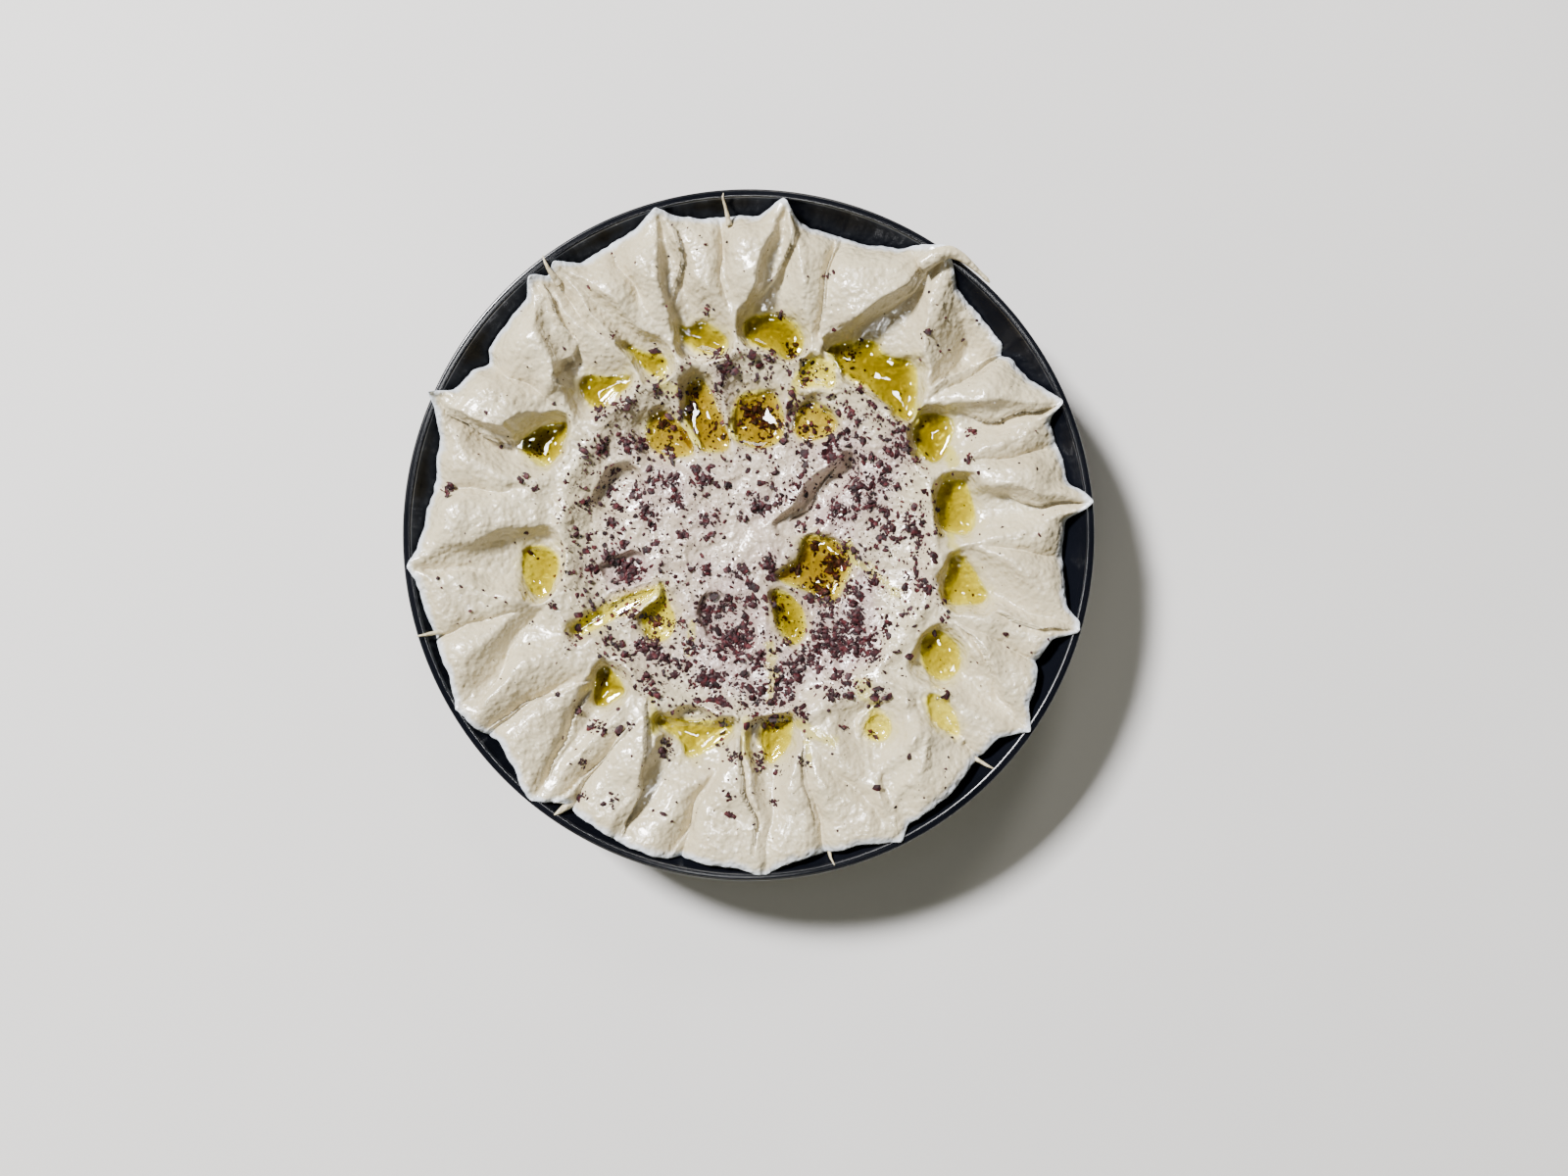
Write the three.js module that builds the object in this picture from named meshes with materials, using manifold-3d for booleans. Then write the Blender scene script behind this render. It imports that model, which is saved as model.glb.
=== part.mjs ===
// A shallow round dish filled with hummus. The back of a spoon has left a ring of long strokes round the
// outside, each running out into a soft spike over the rim, and a ring of shorter strokes round the middle.
// Olive oil stands in the strokes, and coarse sumac flakes are scattered over the top.
//
// Millimetres, +Z up. The origin is the middle of the dish's foot, on the table. Angles are in degrees,
// counter-clockwise from +X. The hummus top is a mound of revolution with creases, and each stroke and each
// bed of oil is cut out of it.
import * as THREE from "three";
import { mergeVertices } from "three/addons/utils/BufferGeometryUtils.js";
import Module from "manifold-3d";

const wasm = await Module();
wasm.setup();

// ---- Driving dimensions -------------------------------------------------------------------------------------

const DISH = {
  rimRadius: 100,
  height: 42,
  lip: 2.5, // width of the rim's flat top, fillets included
  fillet: 0.7,
  wall: 3,
  floorRadius: 50, // the inside is flat out to here
  floorTop: 5.5,
  curve: 1.9, // power of the inside wall's rise
  footInner: 47,
  footOuter: 53,
  footRecess: 2.4,
  segments: 48,
};
const GAP = 0.35; // clearance between the dish, the hummus and the oil
const SKY = 60; // a height above everything

const MOUND = {
  centre: 34.2, // height of the middle
  shoulder: 42.6, // height of the outer ring
  riseFrom: 36, // radii between which the middle climbs to the outer ring
  riseTo: 76,
  ridge: { radius: 53.5, width: 3.2, height: 1.8 }, // round the middle, inside the outer pools
  notchRadius: 93.6, // where the hummus meets the dish in a crease
  flare: 3.9, // how much further out it meets the dish below a spike
  flareWidth: 2.4, // degrees over which that flare falls away
  edge: 1.3, // thickness where it meets the dish
  edgeRun: 11, // distance over which the edge rounds up to full height
  creaseDepth: 4.4,
  creaseWidth: 2.7,
  creaseFrom: 54, // radii between which a crease deepens
  creaseTo: 86,
  sector: 6, // degrees between the lines that it is drawn with, at most
  rings: [1, 0.97, 0.92, 0.84, 0.74, 0.64, 0.565, 0.51, 0.36], // shares of its radius it is drawn with
};
// Where the spoon has pushed the hummus up, or down: angle, radius, spread and height of each lump.
const LUMPS = [
  [11.5, 79, 8, 2.3], [32, 80, 8, 2.5], [40.5, 84, 7, -2.6], [53, 88, 5, 1], [64, 81, 12, 3.1],
  [90, 81.5, 10, 3], [111, 82, 9, 2.9], [121, 81, 6, 1.8], [138, 84, 10, 3.1], [153, 84, 9, 3.1],
  [176, 86, 9, 2.9], [203, 85, 8, 2], [209, 54, 9, -1.8], [221, 80, 7, 1.8], [240, 76, 8, 1.6],
  [265, 74, 8, 1.6], [284, 76, 8, 1.4], [306, 86, 9, 2], [335, 80, 7, 1.6], [352, 80, 8, 2],
];

// The outer strokes, counter-clockwise. crease: the crease before the stroke, at the edge and at the oil's
// ring. pool: angle and radius of the stroke's deepest point. floor: its height there. half: its reach to the
// clockwise and the other side. section: how steep each of those sides is. tip: the spike's angle, radius and
// height. tipDepth: its depth below the mound there. bend: how far it bows to the clockwise side.
const OUTER = [
  {
    crease: [-4, -2.2], pool: [7, 62], floor: 33.2, half: [13, 8], section: [2.2, 5],
    tip: [5.4, 99.2, 44.6], tipDepth: 3, bend: 0,
  },
  {
    crease: [16, 20], pool: [28.6, 61.5], floor: 33.3, half: [11, 8], section: [2.2, 5],
    tip: [22.7, 98.6, 44.4], tipDepth: 3, bend: 0,
  },
  {
    crease: [35.5, 37.5], pool: [51.6, 61], floor: 33.3, half: [16, 17], section: [2, 6],
    tip: [55.6, 99, 46.4], tipDepth: 3.6, bend: 0,
  },
  {
    crease: [73, 70], pool: [83, 60.5], floor: 33, half: [8, 12], section: [2.2, 6],
    tip: [83.4, 97.6, 45.2], tipDepth: 3.4, bend: 0,
  },
  {
    crease: [95.5, 94], pool: [102.4, 60.5], floor: 32.8, half: [9, 10.5], section: [2.2, 6],
    tip: [105.8, 97.4, 45], tipDepth: 3.4, bend: -1,
  },
  {
    crease: [115.5, 112.8], pool: [119.2, 59.5], floor: 33, half: [6.4, 7], section: [4, 3],
    tip: [125.4, 97.2, 44], tipDepth: 2.2, bend: 0,
  },
  {
    crease: [127.8, 126.4], pool: [133.7, 61], floor: 33.1, half: [10, 13], section: [2, 6],
    tip: [130.4, 97.4, 44.4], tipDepth: 3.2, bend: 0,
  },
  {
    crease: [146, 145.6], pool: [156.5, 67], floor: 33.2, half: [6, 12], section: [6, 2],
    tip: [155.8, 100.4, 46], tipDepth: 3.2, bend: -5,
  },
  {
    crease: [171, 167], pool: [189.7, 62.5], floor: 33.1, half: [15, 9], section: [5, 2.4],
    tip: [185.4, 99.2, 43.6], tipDepth: 2.4, bend: 0,
  },
  {
    crease: [198, 199.4], pool: [203.5, 68], floor: 36.4, half: [8, 8], section: [5, 2.4],
    tip: [210.8, 97.8, 43.6], tipDepth: 1.6, bend: 0,
  },
  {
    crease: [217.5, 219.4], pool: [226.7, 61.5], floor: 33.2, half: [7.5, 8], section: [3, 3],
    tip: [230.8, 98, 43.4], tipDepth: 1.8, bend: 0,
  },
  {
    crease: [237, 239.4], pool: [256.8, 61], floor: 33.4, half: [12, 12], section: [5, 2.2],
    tip: [246.6, 95.4, 43], tipDepth: 1.8, bend: 0,
  },
  {
    crease: [258, 265], pool: [277.5, 60], floor: 33.4, half: [9, 7.5], section: [5, 2.4],
    tip: [273, 97.6, 43.2], tipDepth: 1.8, bend: 0,
  },
  {
    crease: [283.5, 285.5], pool: [303, 66], floor: 36.6, half: [11, 10], section: [2.4, 2.4],
    tip: [296.4, 98.4, 43.6], tipDepth: 1.6, bend: 0,
  },
  {
    crease: [316, 315.4], pool: [327.8, 65.5], floor: 33.6, half: [9.5, 9.5], section: [3, 2.6],
    tip: [325, 98.8, 44], tipDepth: 1.8, bend: 0,
  },
  {
    crease: [336.5, 337.6], pool: [347.8, 64], floor: 33.4, half: [7, 12], section: [3.4, 2.4],
    tip: [344, 99, 44.2], tipDepth: 2, bend: 0,
  },
];
const OUTER_STROKE = {
  rise: [0.08, 0.92], // shares of its length between which the depth changes to tipDepth
  inward: 7.5, // reach towards the middle
  taper: 1, // power of the outline outwards: 1 is a straight-sided wedge
  roundness: 2.2, // power of the outline inwards
  turns: 12, // points round it
  shares: [0.4, 0.75, 1.05], // rings it is drawn with, as shares of the way to its outline
};
const INWARD_SECTION = 2.6; // steepness of any stroke towards the middle, where it begins gently

// The inner strokes, counter-clockwise. pool and half as above. out and inward: reach away from the middle
// and towards it.
const INNER = [
  { pool: [63, 37.5], half: [8.4, 7.4], out: 6.4, inward: 9.6, depth: 3 },
  { pool: [87.4, 36.4], half: [8.6, 8.8], out: 11, inward: 10.5, depth: 3.2 },
  { pool: [110.5, 38], half: [5.6, 5.6], out: 10, inward: 12, depth: 3.3 },
  { pool: [131.5, 40.5], half: [9.4, 7.8], out: 9, inward: 12, depth: 3.3 },
  { pool: [219.6, 36.4], half: [7, 6.6], out: 6, inward: 9, depth: 3 },
  { pool: [208.4, 47], half: [3.2, 3.2], out: 15, inward: 12, depth: 2.2 },
  { pool: [297, 25.5], half: [5, 5.4], out: 9, inward: 10, depth: 2.8 },
  { pool: [333, 24], half: [10, 10.4], out: 9, inward: 9, depth: 3 },
];
const INNER_STROKE = {
  tipDepth: 0.6,
  rise: [0.6, 1.2],
  taper: 2.4,
  roundness: 2,
  section: [4, 4],
  bend: 0,
  turns: 10,
  shares: [0.65, 1.05],
};

// The pools of oil: name, level, depth and outline of the oil.
const POOLS = [
  [
    "oil_outer_1", 33.4, 2.6,
    [[56.3, 15.8], [61, 16.6], [63.9, 15], [66.8, 4.5], [63.9, 0.3], [56.9, 1.7], [55.4, 8]],
  ],
  ["oil_outer_2", 33.5, 2.6, [[47.8, 35.6], [60.5, 35.1], [58.8, 27.2], [54.6, 20.7], [49.2, 25.7]]],
  [
    "oil_outer_3", 33.5, 2.6,
    [
      [23, 56], [37, 58], [39.4, 52.4], [48.6, 51.4], [49.4, 44], [47.6, 32.6], [42, 37.6], [34.6, 44.8],
      [23.4, 50.4],
    ],
  ],
  [
    "oil_outer_4", 33.2, 2.8,
    [[-2, 62.5], [2.5, 65.4], [7.4, 65.1], [14.4, 62.5], [16.4, 55.4], [11.6, 51.2], [5.4, 55.8], [-1.1, 58.3]],
  ],
  [
    "oil_outer_5", 33, 2.8,
    [[-20.9, 62.1], [-17.4, 60.4], [-13.9, 63.9], [-5.4, 57.4], [-8.2, 53], [-12, 54], [-18.1, 56.4]],
  ],
  ["oil_outer_6", 33.2, 2.4, [[-37.1, 56.4], [-30, 53.4], [-23.8, 52.4], [-25.2, 46.5], [-30.8, 49.4]]],
  [
    "oil_outer_7", 33.3, 2.4,
    [[-50.2, 44], [-47.4, 47.6], [-41, 46], [-35, 47.5], [-36, 44.6], [-40.7, 41.3], [-43.6, 37.5], [-47, 39]],
  ],
  [
    "oil_outer_8", 33.6, 2.8,
    [[-67.6, 27.6], [-62.4, 31], [-53.8, 34], [-54, 28.6], [-58.6, 20.2], [-63, 21.4]],
  ],
  [
    "oil_outer_9", 33.3, 2.4,
    [[-67, -4.6], [-62, -2.6], [-56.4, -5.4], [-57.4, -14.6], [-61, -18], [-65.4, -15.4]],
  ],
  [
    "oil_outer_11", 33.2, 2.6,
    [[-45, -41.4], [-42.2, -38], [-36.8, -44.4], [-37.4, -47], [-43.6, -50], [-45.6, -48.4]],
  ],
  [
    "oil_outer_12", 33.4, 2.2,
    [[-27, -52.4], [-20, -55], [-8.6, -54.4], [-3.4, -55.4], [-9.4, -61], [-18.4, -66], [-19.4, -60], [-26, -56]],
  ],
  [
    "oil_outer_13", 33.4, 2.2,
    [[4.2, -54.6], [12.4, -52.4], [12.6, -58], [10.2, -63.4], [5.4, -67.6], [4, -62]],
  ],
  ["oil_outer_14", 36.9, 1.4, [[34.6, -53], [40.3, -52.4], [41.6, -57.1], [38.5, -60.2], [34, -58.6]]],
  [
    "oil_outer_15", 33.8, 2.2,
    [[51.6, -29], [55.8, -27.6], [61.5, -32], [61.8, -38.6], [58, -42.6], [53, -41], [50.2, -35]],
  ],
  ["oil_outer_16", 33.6, 2.2, [[59, -6], [63.7, -7], [67, -12.4], [71, -19], [57.8, -20.6], [58, -14]]],
  ["oil_inner_1", 35.9, 1.6, [[14.2, 43], [15.8, 50], [20, 52.6], [25, 49.4], [24.8, 42.8], [20.4, 44.8]]],
  ["oil_inner_2", 31.6, 1.2, [[13, 30], [14, 37.2], [18.4, 40], [23.8, 36.8], [26.6, 32.2], [20, 28.2]]],
  ["oil_inner_3", 31.4, 2.2, [[-3, 42], [7, 43.6], [10.4, 35], [9, 27.4], [1, 26], [-6.6, 29.6], [-4.6, 37]]],
  [
    "oil_inner_4", 31.3, 2.4,
    [[-18.4, 44.6], [-13.6, 47], [-9.6, 37], [-5, 27], [-9.6, 24.8], [-14.6, 25.4], [-19.2, 32], [-18.6, 38]],
  ],
  ["oil_inner_5", 31.4, 1.8, [[-29, 36], [-23, 36.6], [-18, 29], [-16, 23.6], [-26, 23.8], [-31, 29.6]]],
  [
    "oil_inner_8", 31.6, 1.8,
    [[-25.6, -13], [-24.6, -19], [-21.6, -25.6], [-24.6, -31], [-30.6, -30], [-32, -23.6], [-28.6, -17]],
  ],
  ["oil_inner_9", 33.9, 1.2, [[-28.4, -15], [-42, -20.2], [-53, -27], [-50, -29.6], [-40, -24.2], [-28, -17]]],
  [
    "oil_inner_11", 31.3, 2.4,
    [[8, -15.6], [11.4, -16.8], [17, -24], [15.6, -31], [11.6, -32], [7.6, -25], [6.8, -18]],
  ],
  [
    "oil_inner_12", 31.3, 2.2,
    [[15, 0], [24, 0], [31, -7], [27.4, -15], [25, -20], [18, -16], [10.4, -14], [8.2, -11.4], [15.6, -6.4]],
  ],
  ["oil_inner_14", 40, 1.6, [[51, -46.8], [55, -45.8], [59, -50.6], [61.4, -58], [57, -56.6], [52.6, -52]]],
];
const BED = {
  slope: 1.4, // rise of a pool's side for each millimetre outwards
  bank: 2.4, // how far the side goes on rising outside the oil's outline
  leastShare: 0.4, // share of the way out from its middle that its floor keeps at the least
};

// Hollows without oil: height of the rim, depth and outline.
const HOLLOWS = [
  [33.8, 3.6, [[-15, -16], [-15.6, -26], [-8, -34.6], [0.4, -34.6], [3, -26], [-5, -17.4]]],
  [33.8, 3.4, [[-47, 12], [-42, 21], [-33, 21], [-29, 13], [-33, 4.8], [-43, 6.4]]],
  [33.8, 3.4, [[-44, -9], [-38, -4.6], [-30.4, -4], [-30.6, -11.6], [-36, -14.4], [-42, -12.6]]],
  [33.6, 5.2, [[31.6, 26], [28, 26], [19, 16.4], [14, 9], [7.6, 2], [15, -0.2], [23, 9.4], [30.6, 19]]],
];

// A spike, from its root to its tip: distance from the tip, drop below it and thickness.
const SPIKE = [[11, 4.2, 6.4], [6, 2, 4.6], [2.4, 0.5, 2.4], [0, 0, 0.3]];
const SPIKE_SIDES = 7;

// Threads of hummus drawn out thin: angle and radius of each point, its height and its thickness.
const THREADS = [
  [
    [56.4, 95, 44.4, 3.4],
    [55, 99.2, 45.2, 2],
    [52.6, 100.8, 44.8, 1.4],
    [49.6, 101.2, 43.8, 1],
    [47, 101.4, 42.9, 0.3],
  ],
  [[197.4, 90, 38.4, 2.6], [197.4, 95.4, 41.6, 1.1], [197.2, 99.4, 43.8, 0.3]],
  [[127, 92, 40.4, 2.2], [127, 96, 43, 1], [126.6, 99, 44, 0.3]],
  [[237, 90, 38.6, 2.8], [236.4, 94, 39.6, 2], [235.8, 96.8, 40.6, 0.3]],
  [[315, 90, 39.4, 2.2], [315.6, 93.4, 40.2, 1.4], [316, 96, 40.6, 0.3]],
];
const THREAD_SIDES = 6;

const FLAKES = {
  count: 48,
  seed: 20,
  size: [1.05, 1.75], // half lengths
  width: 0.72, // share of the length
  thickness: 0.5, // share of the length
  stand: 0.1, // share of the half length that its middle stands above the hummus
  apart: 4.2,
  within: [6, 86], // radii
  offOil: 3.4, // distance from any pool or hollow
  tries: 4000,
};
// Where the sumac was pinched on most thickly: angle, radius and spread of each heap.
const HEAPS = [
  [256, 31, 7], [305, 34, 8], [88, 36, 8], [128, 41, 7], [150, 45, 8], [190, 40, 6], [40, 44, 8], [20, 34, 9],
  [335, 33, 8], [285, 46, 9], [317, 46, 9], [355, 50, 9], [100, 52, 6], [60, 33, 9], [230, 50, 12], [70, 47, 8],
];
const HEAP_SHARE = 0.72; // share of the flakes that fall in a heap

// ---- Numbers ------------------------------------------------------------------------------------------------

const DEG = Math.PI / 180;
const lerp = THREE.MathUtils.lerp;
const smooth = THREE.MathUtils.smoothstep; // (x, from, to)
const wrapped = (angle) => THREE.MathUtils.euclideanModulo(angle + 180, 360) - 180;

function onCircle(angle, radius) {
  return new THREE.Vector2(Math.cos(angle * DEG), Math.sin(angle * DEG)).multiplyScalar(radius);
}

function atHeight(angle, radius, height) {
  const flat = onCircle(angle, radius);
  return new THREE.Vector3(flat.x, flat.y, height);
}

// Seeded random numbers from 0 to 1.
function randomFrom(seed) {
  let state = seed >>> 0;
  return () => {
    state = (state + 0x6d2b79f5) >>> 0;
    let mixed = Math.imul(state ^ (state >>> 15), state | 1);
    mixed ^= mixed + Math.imul(mixed ^ (mixed >>> 7), mixed | 61);
    return ((mixed ^ (mixed >>> 14)) >>> 0) / 4294967296;
  };
}

// ---- Surfaces -----------------------------------------------------------------------------------------------

// Points up the dish's inside, from the edge of its flat floor to the rim.
const wallTop = DISH.rimRadius - DISH.lip;
const inside = [0, 0.25, 0.5, 0.76, 1].map((share) => {
  const rise = DISH.height - DISH.fillet - DISH.floorTop;
  return new THREE.Vector2(lerp(DISH.floorRadius, wallTop, share), DISH.floorTop + rise * share ** DISH.curve);
});

// Height of the dish's inside at a radius.
function dishHeight(radius) {
  const above = Math.max(1, inside.findIndex((point) => point.x >= radius));
  const [a, b] = [inside[above - 1], inside[above]];
  return Math.max(DISH.floorTop, lerp(a.y, b.y, (radius - a.x) / (b.x - a.x)));
}

// Angle of crease number n at a radius. Numbers run on past the last stroke.
function creaseAngle(n, radius) {
  const turn = Math.floor(n / OUTER.length);
  const [edge, ring] = OUTER[n - turn * OUTER.length].crease;
  return lerp(ring, edge, smooth(radius, MOUND.creaseFrom, MOUND.creaseTo)) + 360 * turn;
}

// Radius at which the hummus meets the dish.
function edgeRadius(angle) {
  const flare = OUTER.map(({ tip }) => Math.exp(-Math.abs(wrapped(angle - tip[0])) / MOUND.flareWidth));
  return MOUND.notchRadius + MOUND.flare * Math.max(...flare);
}

// Height of the mound without its creases and its edge.
function baseHeight(radius) {
  return lerp(MOUND.centre, MOUND.shoulder, smooth(radius, MOUND.riseFrom, MOUND.riseTo));
}

// Height of the mound before any stroke is cut.
function moundHeight(angle, radius) {
  const { ridge } = MOUND;
  const offRidge = (radius - ridge.radius) / ridge.width;
  let top = baseHeight(radius) + ridge.height * Math.exp(-offRidge * offRidge);
  const depth = MOUND.creaseDepth * smooth(radius, MOUND.creaseFrom, MOUND.creaseTo);
  for (let n = 0; n < OUTER.length; n++) {
    const off = Math.abs(wrapped(angle - creaseAngle(n, radius))) * DEG * radius;
    top -= depth * Math.exp(-off / MOUND.creaseWidth);
  }
  for (const [at, out, spread, height] of LUMPS) {
    const off = onCircle(angle, radius).distanceTo(onCircle(at, out)) / spread;
    top += height * Math.exp(-off * off);
  }
  const edge = edgeRadius(angle);
  const foot = dishHeight(edge) + GAP + MOUND.edge;
  const climb = Math.sin((Math.PI / 2) * Math.min(1, Math.max(0, edge - radius) / MOUND.edgeRun)) ** 0.8;
  return lerp(foot, top, climb);
}

// A stroke with its deepest point, its heading and the direction across it.
function framed(stroke, shape, heading) {
  const origin = onCircle(...stroke.pool);
  const axis = onCircle(heading, 1);
  return { ...shape, ...stroke, origin, axis, side: new THREE.Vector2(-axis.y, axis.x) };
}

const outerFrames = OUTER.map((stroke) => {
  const toTip = onCircle(...stroke.tip).sub(onCircle(...stroke.pool));
  const depth = baseHeight(stroke.pool[1]) - stroke.floor;
  return framed({ ...stroke, depth, out: toTip.length() }, OUTER_STROKE, toTip.angle() / DEG);
});
const innerFrames = INNER.map((stroke) => framed(stroke, INNER_STROKE, stroke.pool[0]));
const allFrames = [...outerFrames, ...innerFrames];

// How far a stroke has bowed to the clockwise side, for a distance along it.
function bowed(frame, along) {
  return frame.bend * Math.sin(Math.PI * THREE.MathUtils.clamp(along / frame.out, 0, 1));
}

// A point of a stroke, as its distances across and along it and its place in the world: turn goes round it
// from its clockwise side, and share from its deepest point to its outline.
function strokePoint(frame, turn, share) {
  const [cos, sin] = [Math.cos(turn), Math.sin(turn)];
  const power = sin > 0 ? frame.taper : frame.roundness;
  const size = (Math.abs(cos) ** power + Math.abs(sin) ** power) ** (1 / power);
  const across = (cos / size) * (cos < 0 ? frame.half[1] : frame.half[0]) * share;
  const along = (sin / size) * (sin > 0 ? frame.out : frame.inward) * share;
  const place = frame.origin.clone().addScaledVector(frame.side, -across - bowed(frame, along));
  return { across, along, place: place.addScaledVector(frame.axis, along) };
}

// Height of a stroke's surface at a point and a share as above.
function strokeHeight(frame, { across, along, place }, share) {
  const far = along / frame.out;
  const depth = lerp(frame.depth, frame.tipDepth, smooth(far, ...frame.rise));
  const section = lerp(INWARD_SECTION, frame.section[across < 0 ? 1 : 0], smooth(far, -0.6, 0.2));
  return baseHeight(place.length()) - depth * (1 - share ** section);
}

// A closed outline from its points, with each corner cut off, counter-clockwise.
function outlineOf(points) {
  const corners = points.map(([x, y]) => new THREE.Vector2(x, y));
  const outline = corners.flatMap((point, i) => {
    const after = corners[(i + 1) % corners.length];
    return [point.clone().lerp(after, 0.25), point.clone().lerp(after, 0.75)];
  });
  return THREE.ShapeUtils.isClockWise(outline) ? outline.reverse() : outline;
}

// The middle of an outline.
function middleOf(outline) {
  return outline.reduce((sum, point) => sum.add(point), new THREE.Vector2()).divideScalar(outline.length);
}

// An outline moved outwards from its middle by a distance, or inwards where that is below 0.
function moved(outline, distance) {
  const middle = middleOf(outline);
  return outline.map((point) => {
    const out = point.clone().sub(middle);
    return middle.clone().addScaledVector(out, Math.max(BED.leastShare, 1 + distance / out.length()));
  });
}

// ---- Solids -------------------------------------------------------------------------------------------------

function geometryOf(positions, triangles) {
  const geometry = new THREE.BufferGeometry();
  geometry.setAttribute("position", new THREE.BufferAttribute(new Float32Array(positions), 3));
  geometry.setIndex(triangles);
  return geometry;
}

// A closed geometry as a manifold-3d solid.
function solidOf(geometry) {
  const bare = geometry.clone();
  bare.deleteAttribute("normal");
  bare.deleteAttribute("uv");
  const merged = mergeVertices(bare, 1e-4);
  return new wasm.Manifold(
    new wasm.Mesh({
      numProp: 3,
      vertProperties: merged.attributes.position.array,
      triVerts: new Uint32Array(merged.index.array),
    }),
  );
}

// A manifold-3d solid as a geometry with flat faces.
function geometryFrom(solid) {
  const mesh = solid.getMesh();
  const geometry = geometryOf(mesh.vertProperties, Array.from(mesh.triVerts)).toNonIndexed();
  geometry.computeVertexNormals();
  return geometry;
}

// A closed body through rings of points with equal counts, closed by a point at either end. Each ring turns
// counter-clockwise as seen from the last point.
function skinned(rings, first, last) {
  const count = rings[0].length;
  const positions = [...rings.flat(), first, last].flatMap((p) => [p.x, p.y, p.z]);
  const firstIndex = rings.length * count;
  const triangles = [];
  for (let j = 0; j < count; j++) {
    const next = (j + 1) % count;
    triangles.push(firstIndex, next, j);
    for (let i = 0; i + 1 < rings.length; i++) {
      const [a, b] = [i * count + j, i * count + next];
      triangles.push(a, b, a + count, b, b + count, a + count);
    }
    const top = (rings.length - 1) * count;
    triangles.push(firstIndex + 1, top + j, top + next);
  }
  return geometryOf(positions, triangles);
}

// ---- The dish -----------------------------------------------------------------------------------------------

function dishProfile() {
  const outside = inside.slice(1, -1).map((point, i) => {
    const along = inside[i + 2].clone().sub(inside[i]).normalize();
    return new THREE.Vector2(point.x + along.y * DISH.wall, point.y - along.x * DISH.wall);
  });
  const { rimRadius, height, fillet, footInner, footOuter, footRecess } = DISH;
  return [
    new THREE.Vector2(0, footRecess),
    new THREE.Vector2(footInner - 1, footRecess),
    new THREE.Vector2(footInner, 0),
    new THREE.Vector2(footOuter, 0),
    ...outside,
    new THREE.Vector2(rimRadius, height - 2.6),
    new THREE.Vector2(rimRadius, height - fillet),
    new THREE.Vector2(rimRadius - fillet, height),
    new THREE.Vector2(wallTop + fillet, height),
    ...inside.toReversed(),
    new THREE.Vector2(0, DISH.floorTop),
  ];
}

const dishGeometry = () => new THREE.LatheGeometry(dishProfile(), DISH.segments).rotateX(Math.PI / 2);

// ---- The hummus ---------------------------------------------------------------------------------------------

// Sector lines of the mound, which follow the creases and the spikes and lie evenly between them. Each is
// the number of the crease before it and its place between that crease and the next, from 0 to 1.
function sectorLines() {
  const lines = [];
  OUTER.forEach(({ crease, tip }, n) => {
    const next = creaseAngle(n + 1, MOUND.creaseTo);
    const peak = (tip[0] - crease[0]) / (next - crease[0]);
    const [before, after] = [tip[0] - crease[0], next - tip[0]].map((width) => Math.ceil(width / MOUND.sector));
    for (let i = 0; i < before; i++) lines.push([n, (peak * i) / before]);
    for (let i = 0; i < after; i++) lines.push([n, lerp(peak, 1, i / after)]);
  });
  return lines;
}

function moundSolid() {
  const lines = sectorLines();
  const ring = (radiusFor, height) =>
    lines.map(([n, across]) => {
      const edge = edgeRadius(lerp(creaseAngle(n, MOUND.creaseTo), creaseAngle(n + 1, MOUND.creaseTo), across));
      const radius = radiusFor(edge);
      const angle = lerp(creaseAngle(n, radius), creaseAngle(n + 1, radius), across);
      return atHeight(angle, radius, height(angle, radius));
    });
  const bottom = (angle, radius) => dishHeight(radius) + GAP;
  const rings = [
    ...inside.slice(0, -1).map(({ x }) => ring(() => x, bottom)),
    ring((edge) => edge, bottom),
    ...MOUND.rings.map((share) => ring((edge) => edge * share, moundHeight)),
  ];
  return solidOf(skinned(rings, atHeight(0, 0, bottom(0, 0)), atHeight(0, 0, moundHeight(0, 0))));
}

// A solid through outlines at given heights, from the lowest, with its middle closed at either end.
function layered(layers) {
  const rings = layers.map(([outline, height]) => outline.map(({ x, y }) => new THREE.Vector3(x, y, height)));
  const ends = [layers[0], layers.at(-1)].map(([outline, height]) => {
    const { x, y } = middleOf(outline);
    return new THREE.Vector3(x, y, height);
  });
  return solidOf(skinned(rings, ...ends));
}

// The space that a pool or a hollow opens in the hummus.
function bedCutter(level, depth, points) {
  const outline = outlineOf(points);
  const bank = moved(outline, BED.bank);
  return layered([
    [moved(outline, -depth / BED.slope), level - depth],
    [outline, level],
    [bank, level + BED.bank * BED.slope],
    [bank, SKY],
  ]);
}

// The space that a stroke opens in the mound.
function strokeCutter(frame) {
  const { origin, turns, shares } = frame;
  const ring = (share, height) =>
    Array.from({ length: turns }, (_, i) => {
      const point = strokePoint(frame, (i / turns) * 2 * Math.PI, share);
      return new THREE.Vector3(point.place.x, point.place.y, height ?? strokeHeight(frame, point, share));
    });
  const rings = [...shares.map((share) => ring(share)), ring(shares.at(-1), SKY)];
  const floor = new THREE.Vector3(origin.x, origin.y, baseHeight(origin.length()) - frame.depth);
  return solidOf(skinned(rings, floor, new THREE.Vector3(origin.x, origin.y, SKY)));
}

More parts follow.
